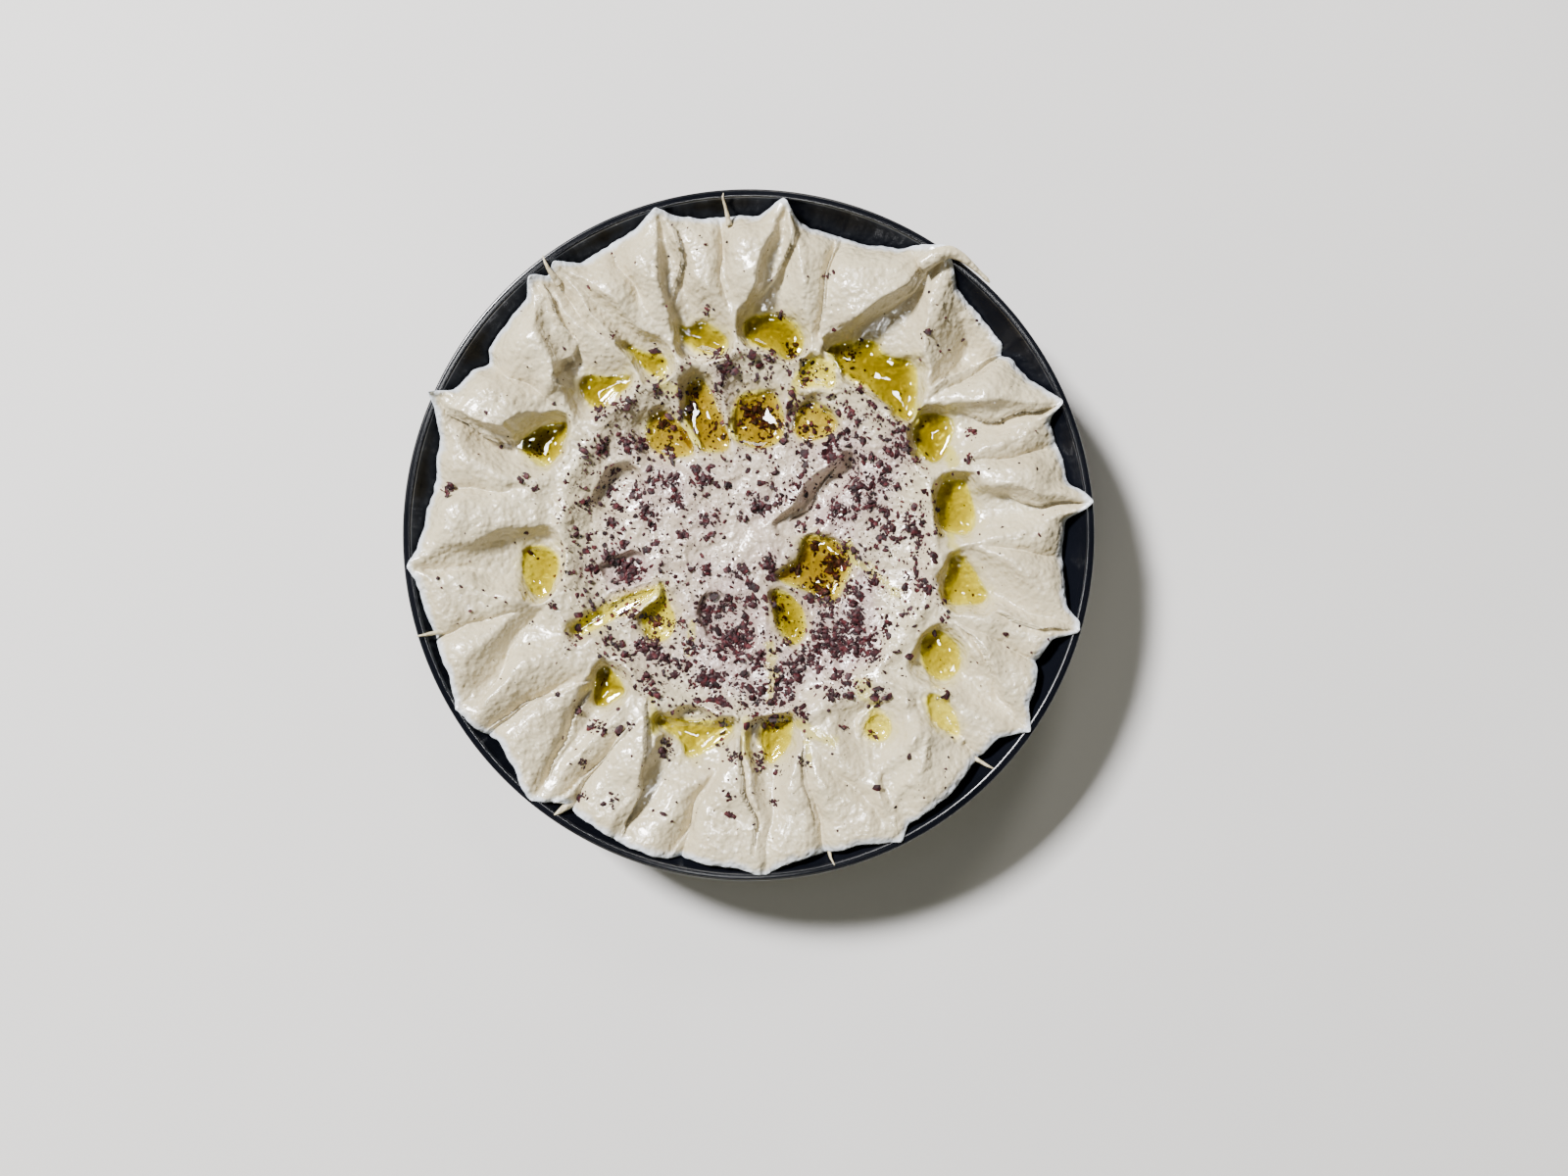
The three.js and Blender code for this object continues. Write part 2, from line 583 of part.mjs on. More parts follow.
// A horn along points given as angle, radius, height and thickness, with a pointed end.
function horn(points, sides) {
  const path = points.map(([angle, radius, height]) => atHeight(angle, radius, height));
  const rings = path.slice(0, -1).map((centre, i) => {
    const ahead = path[i + 1].clone().sub(path[Math.max(0, i - 1)]).normalize();
    const across = new THREE.Vector3(0, 0, 1).cross(ahead).normalize();
    const up = ahead.clone().cross(across);
    const half = points[i][3] / 2;
    return Array.from({ length: sides }, (_, k) => {
      const turn = (k / sides) * 2 * Math.PI;
      const point = centre.clone().addScaledVector(across, Math.cos(turn) * half);
      return point.addScaledVector(up, Math.sin(turn) * half);
    });
  });
  return solidOf(skinned(rings, path[0], path.at(-1)));
}

// The spike that a stroke ends in.
function spike({ tip: [angle, radius, height] }) {
  const points = SPIKE.map(([back, drop, thickness]) => [angle, radius - back, height - drop, thickness]);
  return horn(points, SPIKE_SIDES);
}

// Distance from a point to a closed outline, below 0 inside it.
function outlineDistance(point, outline) {
  let inside = false;
  let nearest = Infinity;
  outline.forEach((a, i) => {
    const b = outline[(i + 1) % outline.length];
    const along = b.clone().sub(a);
    const share = THREE.MathUtils.clamp(point.clone().sub(a).dot(along) / along.lengthSq(), 0, 1);
    nearest = Math.min(nearest, point.distanceTo(a.clone().addScaledVector(along, share)));
    const crosses = a.y > point.y !== b.y > point.y;
    if (crosses && point.x < a.x + ((point.y - a.y) * along.x) / along.y) inside = !inside;
  });
  return inside ? -nearest : nearest;
}

const bedOutlines = [...POOLS, ...HOLLOWS].map((bed) => outlineOf(bed.at(-1)));

// Whether a flake can lie at a point, clear of the pools and hollows.
function isDry(point) {
  return bedOutlines.every((outline) => outlineDistance(point, outline) > FLAKES.offOil);
}

// Height of the finished surface at a dry point.
function surfaceAt(point) {
  let height = moundHeight(point.angle() / DEG, point.length());
  for (const frame of allFrames) {
    const offset = point.clone().sub(frame.origin);
    const along = offset.dot(frame.axis);
    const across = -offset.dot(frame.side) - bowed(frame, along);
    const power = along > 0 ? frame.taper : frame.roundness;
    const wide = Math.abs(across) / frame.half[across < 0 ? 1 : 0];
    const far = Math.abs(along) / (along > 0 ? frame.out : frame.inward);
    const share = (wide ** power + far ** power) ** (1 / power);
    if (share < 1) height = Math.min(height, strokeHeight(frame, { across, along, place: point }, share));
  }
  return height;
}

// Where the larger sumac flakes lie: most in the heaps, the rest anywhere inside the outer ring.
function flakePlaces() {
  const random = randomFrom(FLAKES.seed);
  const places = [];
  for (let tries = 0; places.length < FLAKES.count && tries < FLAKES.tries; tries++) {
    const inHeap = random() < HEAP_SHARE;
    const heap = HEAPS[Math.floor(random() * HEAPS.length)];
    const [turn, far] = [random() * 360, Math.sqrt(random())];
    const reach = inHeap ? heap[2] * far : lerp(...FLAKES.within, far);
    const spot = onCircle(turn, reach);
    if (inHeap) spot.add(onCircle(heap[0], heap[1]));
    const size = lerp(...FLAKES.size, random());
    const spin = random() * 360;
    const crowded = places.some((place) => Math.hypot(place.x - spot.x, place.y - spot.y) < FLAKES.apart);
    if (!crowded && isDry(spot)) places.push({ x: spot.x, y: spot.y, z: surfaceAt(spot), size, spin });
  }
  return places;
}

function flakeSolid({ x, y, z, size, spin }) {
  const flake = new THREE.OctahedronGeometry(size, 0);
  flake.scale(1, FLAKES.width, FLAKES.thickness).rotateZ(spin * DEG).translate(x, y, z + size * FLAKES.stand);
  return solidOf(flake);
}

// The largest connected body of a solid.
function largestBody(solid) {
  return solid.decompose().sort((a, b) => b.volume() - a.volume())[0];
}

function hummusSolid() {
  const whole = wasm.Manifold.union([moundSolid(), ...OUTER.map(spike)]);
  const strokes = allFrames.map((frame) => strokeCutter(frame));
  const pools = POOLS.map(([, level, depth, points]) => bedCutter(level, depth, points));
  const hollows = HOLLOWS.map(([rim, depth, points]) => bedCutter(rim, depth, points));
  const spooned = whole.subtract(wasm.Manifold.union([...strokes, ...pools, ...hollows]));
  const threads = THREADS.map((points) => horn(points, THREAD_SIDES));
  return largestBody(wasm.Manifold.union([spooned, ...threads, ...flakePlaces().map(flakeSolid)]));
}

// ---- The oil ------------------------------------------------------------------------------------------------

// The oil of a pool, up to its level, clear of its bed.
function oilGeometry(level, depth, points) {
  const outline = outlineOf(points);
  return geometryFrom(
    layered([
      [moved(outline, -depth / BED.slope - GAP), level - depth + GAP],
      [moved(outline, -1.3 * GAP), level],
    ]),
  );
}

// ---- The whole ----------------------------------------------------------------------------------------------

const glazed = new THREE.MeshStandardMaterial({ color: "#0d0e11", roughness: 0.28, metalness: 0 });
const chickpea = new THREE.MeshStandardMaterial({ color: "#e3d9c6", roughness: 0.48, metalness: 0 });
const oliveOil = new THREE.MeshStandardMaterial({
  color: "#b79d1c",
  roughness: 0.05,
  metalness: 0,
  transparent: true,
  opacity: 0.8,
});

function named(name, geometry, material) {
  const mesh = new THREE.Mesh(geometry, material);
  mesh.name = name;
  return mesh;
}

const plate = new THREE.Group();
plate.add(named("dish", dishGeometry(), glazed));
plate.add(named("hummus", geometryFrom(hummusSolid()), chickpea));
for (const [name, level, depth, points] of POOLS) {
  plate.add(named(name, oilGeometry(level, depth, points), oliveOil));
}

export default plate;
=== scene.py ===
"""Looks for a shallow dish of hummus, spooned into strokes and spikes, with olive oil and sumac.

The tables are in millimetres and degrees, counter-clockwise from +X; meshes are made in metres. The hummus
top is a mound of revolution with creases and lumps, and each spoon stroke is cut out of it.
"""

import bmesh
import bpy
import numpy as np
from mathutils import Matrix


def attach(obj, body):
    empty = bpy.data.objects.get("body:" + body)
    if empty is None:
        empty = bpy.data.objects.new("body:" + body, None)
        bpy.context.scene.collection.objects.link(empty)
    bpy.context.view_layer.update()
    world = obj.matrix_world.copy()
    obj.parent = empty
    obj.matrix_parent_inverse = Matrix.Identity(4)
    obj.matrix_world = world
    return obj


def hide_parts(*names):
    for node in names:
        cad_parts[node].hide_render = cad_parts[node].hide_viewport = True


MM = 0.001

# ---- The dish and the mound ----

RIM_RADIUS = 100.0
DISH_HEIGHT = 42.0
RIM_LIP = 2.5
RIM_FILLET = 0.7
DISH_WALL = 3.0
FLOOR_RADIUS = 50.0
FLOOR_TOP = 5.5
WALL_CURVE = 1.9  # power of the inside wall's rise
FOOT_INNER = 47.0
FOOT_OUTER = 53.0
FOOT_RECESS = 2.4
WALL_TOP = RIM_RADIUS - RIM_LIP

CENTRE_HEIGHT = 34.2
SHOULDER_HEIGHT = 42.6
SHOULDER_RISE = (36.0, 76.0)  # radii between which the mound rises to its shoulder
RING_RIDGE = (53.5, 3.2, 1.8)  # radius, width and height of the ridge inside the outer pools
CONTACT_RADIUS = 96.33  # furthest out that the hummus touches the dish
EDGE_THICKNESS = 0.91
EDGE_GAP = 0.55  # least height of the edge over the dish's wall and rim
EDGE_RUN = (10.0, 3.4)  # distance over which the edge rounds up to full height, at the back and at the front
FRONT = 272.0  # angle of the front, where the hummus rises on to its edge
FRONT_SPREAD = (-0.15, 0.4)  # cosines of the angle from it at which the front begins and is full
FRONT_RUN = (78, 92)  # radii between which it rises
FRONT_RISE = 1.7
FRONT_DROP = 1.3  # height of the front's edge under the surface beside it
CREASE_DEPTH = 4.4
CREASE_WIDTH = 2.7
CREASE_RUN = (54.0, 86.0)  # radii between which the creases deepen
BLEND = 0.3  # how softly a pool or a hollow is cut into the top

# Layers of unevenness: height, width and seed of each.
WARP_X, WARP_Y = ((1.5, 11, 21), (0.25, 4.5, 22)), ((1.5, 11, 23), (0.25, 4.5, 24))
SHORE_X, SHORE_Y = ((0.9, 6.5, 29), (0.4, 2.6, 26)), ((0.9, 6.5, 30), (0.4, 2.6, 27))
SWELLS = ((0.8, 13, 1), (0.42, 6, 2))
RIPPLES = ((0.2, 3, 4), (0.1, 1.7, 5))
MIDDLE_RIPPLES = ((0.45, 4.2, 6), (0.15, 2.1, 7))
RIDGE_BEADS = ((0.5, 9, 25),)
EDGE_WOBBLE = ((0.34, 3, 8), (0.18, 1.1, 9))
OIL_EDGE = ((1.4, 3.4, 31), (0.6, 1.5, 32))
WET_PATCHES = ((1, 5, 33), (0.5, 2, 34))
OIL_WAVES = ((0.2, 6, 35),)
SPOON_LINES = ((0.16, 1.4, 3),)
# Radii between which each sets in: the warp, the calm near the edge, the folds and the ripples of the middle.
WARPED, CALM, FOLDED, MIDDLE = (97, 88), (80, 92), (4, 12), (36, 26)

# Where the spoon has pushed the hummus up: angle, radius, spread and height of each lump.
LUMPS = [
    (11.5, 79, 8, 2.3), (32, 80, 8, 2.5), (40.5, 84, 9, -6.4), (54, 84, 5, 1.6), (64, 81, 12, 3.1),
    (90, 81.5, 10, 3), (111, 82, 9, 2.9), (121, 81, 6, 1.8), (138, 84, 10, 3.1), (153, 84, 9, 3.1),
    (176, 86, 9, 2.9), (203, 85, 8, 2), (209, 54, 9, -1.8), (221, 80, 7, 1.8), (240, 76, 8, 1.6),
    (265, 74, 8, 1.6), (284, 76, 8, 1.4), (306, 86, 9, 2), (335, 80, 7, 1.6), (352, 80, 8, 2),
]

# Outer strokes: the crease before it (angle at the edge and at the oil's ring), deepest point (angle, radius),
# half reach to the clockwise and the other side, how steep each of those sides is, spike tip (angle, radius,
# height), height of the floor at its deepest point, depth at the tip and how far it bends clockwise.
OUTER = [
    ((-4, -2.2), (7, 62), (13, 8), (2.2, 5), (5.4, 99.2, 44.6), 33.2, 3, 0),
    ((16, 20), (28.6, 61.5), (11, 8), (2.2, 5), (22.7, 98.6, 44.4), 33.3, 3, 0),
    ((35.5, 37.5), (51.6, 61), (16, 15.6), (2, 9), (55.6, 99, 46.4), 33.3, 3.6, 0),
    ((73, 70), (83, 60.5), (8, 11), (2.2, 9), (83.4, 97.6, 45.2), 33, 3.4, 0),
    ((95.5, 94), (102.4, 60.5), (9, 9.6), (2.2, 9), (105.8, 97.4, 45), 32.8, 3.4, -1),
    ((115.5, 112.8), (119.2, 59.5), (6.4, 7), (4, 3), (125.4, 97.2, 44), 33, 2.2, 0),
    ((127.8, 126.4), (133.7, 61), (10, 13), (2, 6), (130.4, 97.4, 44.4), 33.1, 3.2, 0),
    ((146, 145.6), (156.5, 67), (6, 12), (6, 2), (155.8, 100.4, 46), 33.2, 3.2, -5),
    ((171, 167), (189.7, 62.5), (15, 9), (5, 2.4), (185.4, 99.2, 43.6), 33.1, 2.4, 0),
    ((198, 199.4), (203.5, 68), (8, 8), (2.4, 2.2), (210.8, 97.8, 43.6), 38.4, 1.2, 0),
    ((217.5, 219.4), (226.7, 61.5), (7.5, 8), (3, 3), (230.8, 98, 43.4), 33.2, 1.8, 0),
    ((237, 239.4), (256.8, 61), (12, 12), (5, 2.2), (246.6, 95.4, 43), 33.4, 1.8, 0),
    ((258, 265), (277.5, 60), (9, 7.5), (5, 2.4), (273, 97.6, 43.2), 33.4, 1.8, 0),
    ((283.5, 285.5), (303, 66), (11, 10), (2.4, 2.4), (296.4, 98.4, 43.6), 36.6, 1.6, 0),
    ((316, 315.4), (327.8, 65.5), (9.5, 9.5), (3, 2.6), (325, 98.8, 44), 33.6, 1.8, 0),
    ((336.5, 337.6), (347.8, 64), (7, 12), (3.4, 2.4), (344, 99, 44.2), 33.4, 2, 0),
]
OUTER_SHAPE = dict(rise=(0.08, 0.92), inward=7.5, taper=1, roundness=2.2, blend=0.6)

# Inner strokes: deepest point (angle, radius), half reach each way, reach outwards and inwards, depth.
INNER = [
    ((63, 37.5), (8.4, 7.4), 6.4, 9.6, 3),
    ((87.4, 36.4), (8.6, 8.8), 11, 10.5, 3.2),
    ((110.5, 38), (5.6, 5.6), 10, 12, 3.3),
    ((131.5, 40.5), (9.4, 7.8), 9, 12, 3.3),
    ((219.6, 36.4), (7, 6.6), 6, 9, 3),
    ((208.4, 47), (3.2, 3.2), 15, 12, 2.2),
    ((297, 25.5), (5, 5.4), 9, 10, 2.8),
    ((333, 24), (10, 10.4), 9, 9, 3),
]
INNER_SHAPE = dict(tip_depth=0.6, rise=(0.6, 1.2), taper=2.4, roundness=2, section=(4, 4), bend=0, blend=0.4)

INWARD_SECTION = 2.6  # steepness towards the middle, where a stroke begins gently
STROKE_REACH = 1.7  # how far a stroke's sides go on, where 1 is its outline
LINE_LENGTH = 7.0  # how many times longer than wide the spoon's faint lines in a stroke are
TIPS = np.array([row[4] for row in OUTER])
TIP_WIDTH = 2.2  # degrees over which the edge falls away beside a spike
TIP_RUN = 5.0  # distance over which the edge rounds up at a spike

# The outer edge of the hummus as seen from above: angle and radius.
EDGE = [
    (0, 92), (3, 92.4), (4.4, 97.5), (5.6, 100), (7.4, 97.6), (9, 94.2), (13, 94.2), (20, 93.4),
    (21.4, 93.8), (23, 98.6), (25.5, 96.5), (29, 93.6), (34.6, 92.6), (35.6, 90.8), (36.8, 92.8), (43, 93.2),
    (50, 94), (53, 98), (56, 100.4), (58.5, 98.5), (62, 94.4), (69, 91.8), (78, 91.8), (81, 92.4),
    (84, 97.6), (88, 93.4), (99, 93.6), (103, 95), (106, 97.8), (110, 95), (117, 93.8), (122, 93.4),
    (125.4, 96.8), (127.6, 95.2), (130.2, 97.8), (133, 94.4), (144, 93.8), (146.6, 91.4), (149, 94),
    (154, 95), (156, 101), (158, 97.6), (162, 94.6), (170, 93), (178, 94.6), (182.5, 96), (185.2, 99.4),
    (187.4, 97), (196, 95.6), (205, 95.2), (210.8, 98.2), (216, 96.4), (219.4, 93.6), (224.6, 95), (228, 98),
    (230.4, 99.4), (232.6, 97), (235, 94.4), (245, 95.6), (249, 96.6), (256, 96.6), (258, 95.2), (268, 96.2),
    (272.4, 98.4), (276, 95.8), (281, 94.4), (290, 95), (294, 97.2), (296.6, 99), (299, 95.4), (309, 94.2),
    (314, 92.6), (321, 92.8), (325.2, 99), (329, 94.4), (335, 92.4), (336.4, 90.8), (341.2, 92.6),
    (343.4, 99.4), (345.4, 98.8), (347, 94.4), (352, 92.4), (357, 91.6),
]
EDGE_ROUNDING = 0.35  # degrees over which its corners are rounded

# Oil: the node it stands for, its kind, its level, its depth and its outline.
POOLS = [
    ("oil_outer_1", "pale", 33.4, 2.6, [(56.3, 15.8), (61, 16.6), (63.9, 15), (66.8, 4.5), (63.9, 0.3),
     (56.9, 1.7), (55.4, 8)]),
    ("oil_outer_2", "olive", 33.5, 2.6, [(47.8, 35.6), (60.5, 35.1), (58.8, 27.2), (54.6, 20.7),
     (49.2, 25.7)]),
    ("oil_outer_3", "olive", 33.5, 2.6, [(23, 56), (37, 58), (39.4, 52.4), (48.6, 51.4), (49.4, 44),
     (47.6, 32.6), (42, 37.6), (34.6, 44.8), (23.4, 50.4)]),
    ("oil_outer_4", "olive", 33.2, 2.8, [(-2, 62.5), (2.5, 65.4), (7.4, 65.1), (14.4, 62.5), (16.4, 55.4),
     (11.6, 51.2), (5.4, 55.8), (-1.1, 58.3)]),
    ("oil_outer_5", "olive", 33, 2.8, [(-20.9, 62.1), (-17.4, 60.4), (-13.9, 63.9), (-5.4, 57.4), (-8.2, 53),
     (-12, 54), (-18.1, 56.4)]),
    ("oil_outer_6", "olive", 33.2, 2.4, [(-37.1, 56.4), (-30, 53.4), (-23.8, 52.4), (-25.2, 46.5),
     (-30.8, 49.4)]),
    ("oil_outer_7", "olive", 33.3, 2.4, [(-50.2, 44), (-47.4, 47.6), (-41, 46), (-35, 47.5), (-36, 44.6),
     (-40.7, 41.3), (-43.6, 37.5), (-47, 39)]),
    ("oil_outer_8", "olive", 33.6, 2.8, [(-67.6, 27.6), (-62.4, 31), (-53.8, 34), (-54, 28.6), (-58.6, 20.2),
     (-63, 21.4)]),
    ("oil_outer_9", "pale", 33.3, 2.4, [(-67, -4.6), (-62, -2.6), (-56.4, -5.4), (-57.4, -14.6), (-61, -18),
     (-65.4, -15.4)]),
    ("oil_outer_11", "olive", 33.2, 2.6, [(-45, -41.4), (-42.2, -38), (-36.8, -44.4), (-37.4, -47),
     (-43.6, -50), (-45.6, -48.4)]),
    ("oil_outer_12", "pale", 33.4, 2.2, [(-27, -52.4), (-20, -55), (-8.6, -54.4), (-3.4, -55.4), (-9.4, -61),
     (-18.4, -66), (-19.4, -60), (-26, -56)]),
    ("oil_outer_13", "pale", 33.4, 2.2, [(4.2, -54.6), (12.4, -52.4), (12.6, -58), (10.2, -63.4),
     (5.4, -67.6), (4, -62)]),
    ("oil_outer_14", "thin", 36.9, 1.4, [(34.6, -53), (40.3, -52.4), (41.6, -57.1), (38.5, -60.2),
     (34, -58.6)]),
    ("oil_outer_15", "pale", 33.8, 2.2, [(51.6, -29), (55.8, -27.6), (61.5, -32), (61.8, -38.6), (58, -42.6),
     (53, -41), (50.2, -35)]),
    ("oil_outer_16", "pale", 33.6, 2.2, [(59, -6), (63.7, -7), (67, -12.4), (71, -19), (57.8, -20.6),
     (58, -14)]),
    ("oil_inner_1", "thin", 35.9, 1.6, [(14.2, 43), (15.8, 50), (20, 52.6), (25, 49.4), (24.8, 42.8),
     (20.4, 44.8)]),
    ("oil_inner_2", "stained", 31.6, 1.2, [(13, 30), (14, 37.2), (18.4, 40), (23.8, 36.8), (26.6, 32.2),
     (20, 28.2)]),
    ("oil_inner_3", "stained", 31.4, 2.2, [(-3, 42), (7, 43.6), (10.4, 35), (9, 27.4), (1, 26), (-6.6, 29.6),
     (-4.6, 37)]),
    ("oil_inner_4", "stained", 31.3, 2.4, [(-18.4, 44.6), (-13.6, 47), (-9.6, 37), (-5, 27), (-9.6, 24.8),
     (-14.6, 25.4), (-19.2, 32), (-18.6, 38)]),
    ("oil_inner_5", "stained", 31.4, 1.8, [(-29, 36), (-23, 36.6), (-18, 29), (-16, 23.6), (-26, 23.8),
     (-31, 29.6)]),
    ("oil_inner_8", "thin", 31.6, 1.8, [(-25.6, -13), (-24.6, -19), (-21.6, -25.6), (-24.6, -31),
     (-30.6, -30), (-32, -23.6), (-28.6, -17)]),
    ("oil_inner_9", "thin", 33.9, 1.2, [(-28.4, -15), (-42, -20.2), (-53, -27), (-50, -29.6), (-40, -24.2),
     (-28, -17)]),
    ("oil_inner_11", "olive", 31.3, 2.4, [(8, -15.6), (11.4, -16.8), (17, -24), (15.6, -31), (11.6, -32),
     (7.6, -25), (6.8, -18)]),
    ("oil_inner_12", "stained", 31.3, 2.2, [(15, 0), (24, 0), (31, -7), (27.4, -15), (25, -20), (18, -16),
     (10.4, -14), (8.2, -11.4), (15.6, -6.4)]),
    ("oil_inner_14", "thin", 40, 1.6, [(51, -46.8), (55, -45.8), (59, -50.6), (61.4, -58), (57, -56.6),
     (52.6, -52)]),
]
POOL_SLOPE = 1.15  # steepness of the hummus at the oil's edge, inwards
BANK_SLOPE = 2.4  # and outwards, where the hummus stands over the pool
DAM_SLOPE = 0.5  # least steepness outwards
DAM_REACH = (3.4, 2.04)  # how far that goes, and how far it is full

# Colour and density of each kind of oil. The stained oil is coloured by the sumac. The olive oil, on pools
# mostly at the back, is denser and so darker than the pale: partly the pools' own colour, partly painted shade
# where the hummus stands over them.
OILS = {
    "olive": ((0.8, 0.765, 0.08), 2800),
    "stained": ((0.8, 0.74, 0.44), 2600),
    "pale": ((0.82, 0.785, 0.1), 1900),
    "thin": ((0.82, 0.785, 0.2), 900),
}

# Dry hollows: depth of the rim below the mound, further depth, the way that it deepens and its outline.
HOLLOWS = [
    (0.4, 3.6, 235, [(-15, -16), (-15.6, -26), (-8, -34.6), (0.4, -34.6), (3, -26), (-5, -17.4)]),
    (0.4, 5.2, 135, [(-47, 12), (-42, 21), (-33, 21), (-29, 13), (-33, 4.8), (-43, 6.4)]),
    (0.4, 3.4, 100, [(-44, -9), (-38, -4.6), (-30.4, -4), (-30.6, -11.6), (-36, -14.4), (-42, -12.6)]),
    (0.6, 7, 60, [(28.4, 25.6), (24.2, 20.4), (18.4, 16.8), (12.2, 7.6), (7, 3.8), (9.4, -0.6), (17.4, -0.8),
     (24.4, 8.4), (27, 12.4), (29, 15.6), (32.6, 17.8), (33, 22.8)]),
]
HOLLOW_SLOPE = 3.0
HOLLOW_LEAN = (0.62, 0.38, 0.15)  # share of the depth at the middle, its change to each side, and the least

# Folds: height beside the line and how far it reaches, to the left and to the right, and the line's points.
FOLDS = [
    (1.6, 5, -1.2, 3, [(-90.3, 38.5), (-84.9, 33.2), (-77.8, 28.9), (-71.6, 28.2), (-66.6, 28.9),
     (-62.5, 31.4), (-57.5, 35.6)]),
    (-1, 2, 1.2, 5, [(-60, 73.4), (-57, 67.2), (-52.9, 60.9), (-49, 56.5)]),
    (-1.6, 3, 1.2, 5, [(-49, 56.5), (-51.6, 53), (-55, 50.1), (-56.2, 44.7), (-52.9, 41.8)]),
    (-0.8, 1.5, -0.8, 1.5, [(-37.1, 84.2), (-35.8, 77.2), (-33.3, 70.1), (-30.8, 63.9)]),
    (-1.2, 2.5, 1, 4, [(-23.8, 91.3), (-20.4, 87.1), (-19.4, 82.2), (-20.4, 75.5), (-22.1, 68.8),
     (-22.1, 65.5)]),
    (0.8, 1.2, 0.8, 1.2, [(-19.2, 74.3), (-19.6, 71.3), (-21, 68.4), (-21.5, 65.5)]),
    (-1.2, 1.2, -1.2, 1.2, [(-8.2, 93), (-8.5, 87.1), (-8.4, 77.2), (-7.4, 68.8), (-5, 61.4)]),
    (-1, 2.5, 1.2, 4, [(9.9, 95.1), (12.3, 92.6), (13.1, 88.8), (11.8, 83), (8.3, 75.5), (2.4, 70.5),
     (-1.7, 65.5)]),
    (0.6, 1.2, 0.6, 1.2, [(13.3, 88), (14.1, 80.5), (15.3, 74.7), (16.2, 68.8)]),
    (0.8, 2.5, -1.2, 1.5, [(24.9, 88.4), (24.1, 82.2), (22.4, 74.7), (21.4, 67.2), (21.2, 58.9),
     (22.4, 52.2)]),
    (-1, 3, 1.5, 6, [(52.4, 76.3), (46.5, 70.5), (39.1, 64.7), (32.4, 60.1), (25.7, 55.9)]),
    (1.2, 3, 0.9, 3, [(52.5, 77.2), (52, 67.2), (50.7, 55.5), (48.9, 40.1)]),
    (-1, 4, -1, 4, [(59, 68.8), (62.4, 62.2), (64, 55.5), (60.7, 48.9)]),
    (0.8, 3, -2.4, 7, [(88, 58), (76, 53.5), (68.2, 51.2), (61.5, 48.7), (55.7, 45.1), (49.9, 40.1)]),
    (-1, 2, 1, 5, [(91.1, 37.6), (85.7, 36.8), (79, 35.6), (72.3, 33.9), (65.7, 34.6), (59, 35.6)]),
    (-0.8, 1.5, 0.6, 4, [(99.8, 9.1), (93.1, 9.6), (84.8, 9.6), (77.3, 11), (70.7, 13.3), (67.3, 15.6)]),
    (-0.8, 1.5, 0.6, 3, [(95.2, -27.4), (88.1, -27), (80.7, -26.2), (72.3, -23.7), (68.2, -22.4)]),
    (0.8, 3, -1.6, 1.8, [(59.9, -25.8), (64.9, -29.1), (68.2, -34.1), (69.8, -39.9), (72.3, -46.6),
     (77.3, -51.6)]),
    (1, 1.5, 1, 1.5, [(34.1, -42.4), (40.7, -42.4), (45.3, -44.9), (45.3, -49.1), (42.4, -52.4)]),
    (1.3, 1.8, 1.3, 1.8, [(48.4, -49), (49.3, -57), (46.5, -61), (42, -64.5), (38.6, -68), (37.3, -72),
     (38.5, -78), (41, -84)]),
    (0.8, 1.2, 0.9, 2.2, [(51.4, -50), (52, -59), (50, -65), (46.6, -70), (43, -73.6), (41.6, -78),
     (42.6, -84), (45, -92)]),
    (-0.9, 1.8, -0.9, 1.8, [(15, -57), (21, -65), (26, -69), (31, -73), (35.5, -78), (40, -86)]),
    (-0.4, 2.4, 0.1, 4, [(13.2, -52), (14.8, -60), (16, -68), (17, -78), (18, -88)]),
    (-1.5, 1.9, 0.3, 4, [(-4, -48), (-3, -60), (-3, -68), (-1.5, -74), (0, -79), (1.2, -85), (1.8, -94)]),
    (0.7, 1.6, 0.7, 1.6, [(2, -72), (4.2, -82), (5, -90), (5, -98)]),
    (-0.8, 1.5, 0.4, 3, [(-97.4, -9.8), (-91.6, -10.8), (-84.9, -11.2), (-76.6, -10.9)]),
    (-1, 2, -1.7, 3.5, [(-56, -18.6), (-62, -24), (-66, -28.5), (-69.6, -34), (-71.6, -39.6), (-75.4, -46),
     (-79, -53)]),
    (0.9, 3, 0.9, 1.4, [(-59, -32), (-64.5, -35.5), (-69.5, -41), (-74, -46.5), (-78.6, -54)]),
    (0.4, 3, -1.5, 4, [(-44, -41), (-54, -45.5), (-60, -47), (-66, -50), (-72, -54), (-78, -58)]),
    (0.3, 3, -1.6, 4, [(-45.6, -44), (-51.6, -54), (-54, -60.5), (-57, -66), (-61, -76)]),
    (0.4, 3, -1.7, 4.5, [(-34, -54), (-42, -65), (-47, -70), (-53, -75), (-60, -79)]),
    (-1.6, 3.4, 0.7, 2.6, [(-29, -46), (-29.8, -58), (-30, -66), (-31, -73), (-33.5, -81), (-37, -89)]),
    (-0.3, 1.2, -1.6, 5, [(-6, -59), (-9.4, -70), (-14, -78), (-18, -85), (-25, -96)]),
    (-2.5, 3, 1, 5, [(29.3, 22.8), (24.3, 18.7), (20.2, 13.7), (16.8, 7.9), (11.8, 3.7), (7.7, 4.1)]),
]
FOLD_GAIN = 2.1
FOLD_FADE = 0.25  # share of a fold's length over which each end fades
RIDGE_ROUNDING, GROOVE_ROUNDING = 1.1, 0.35

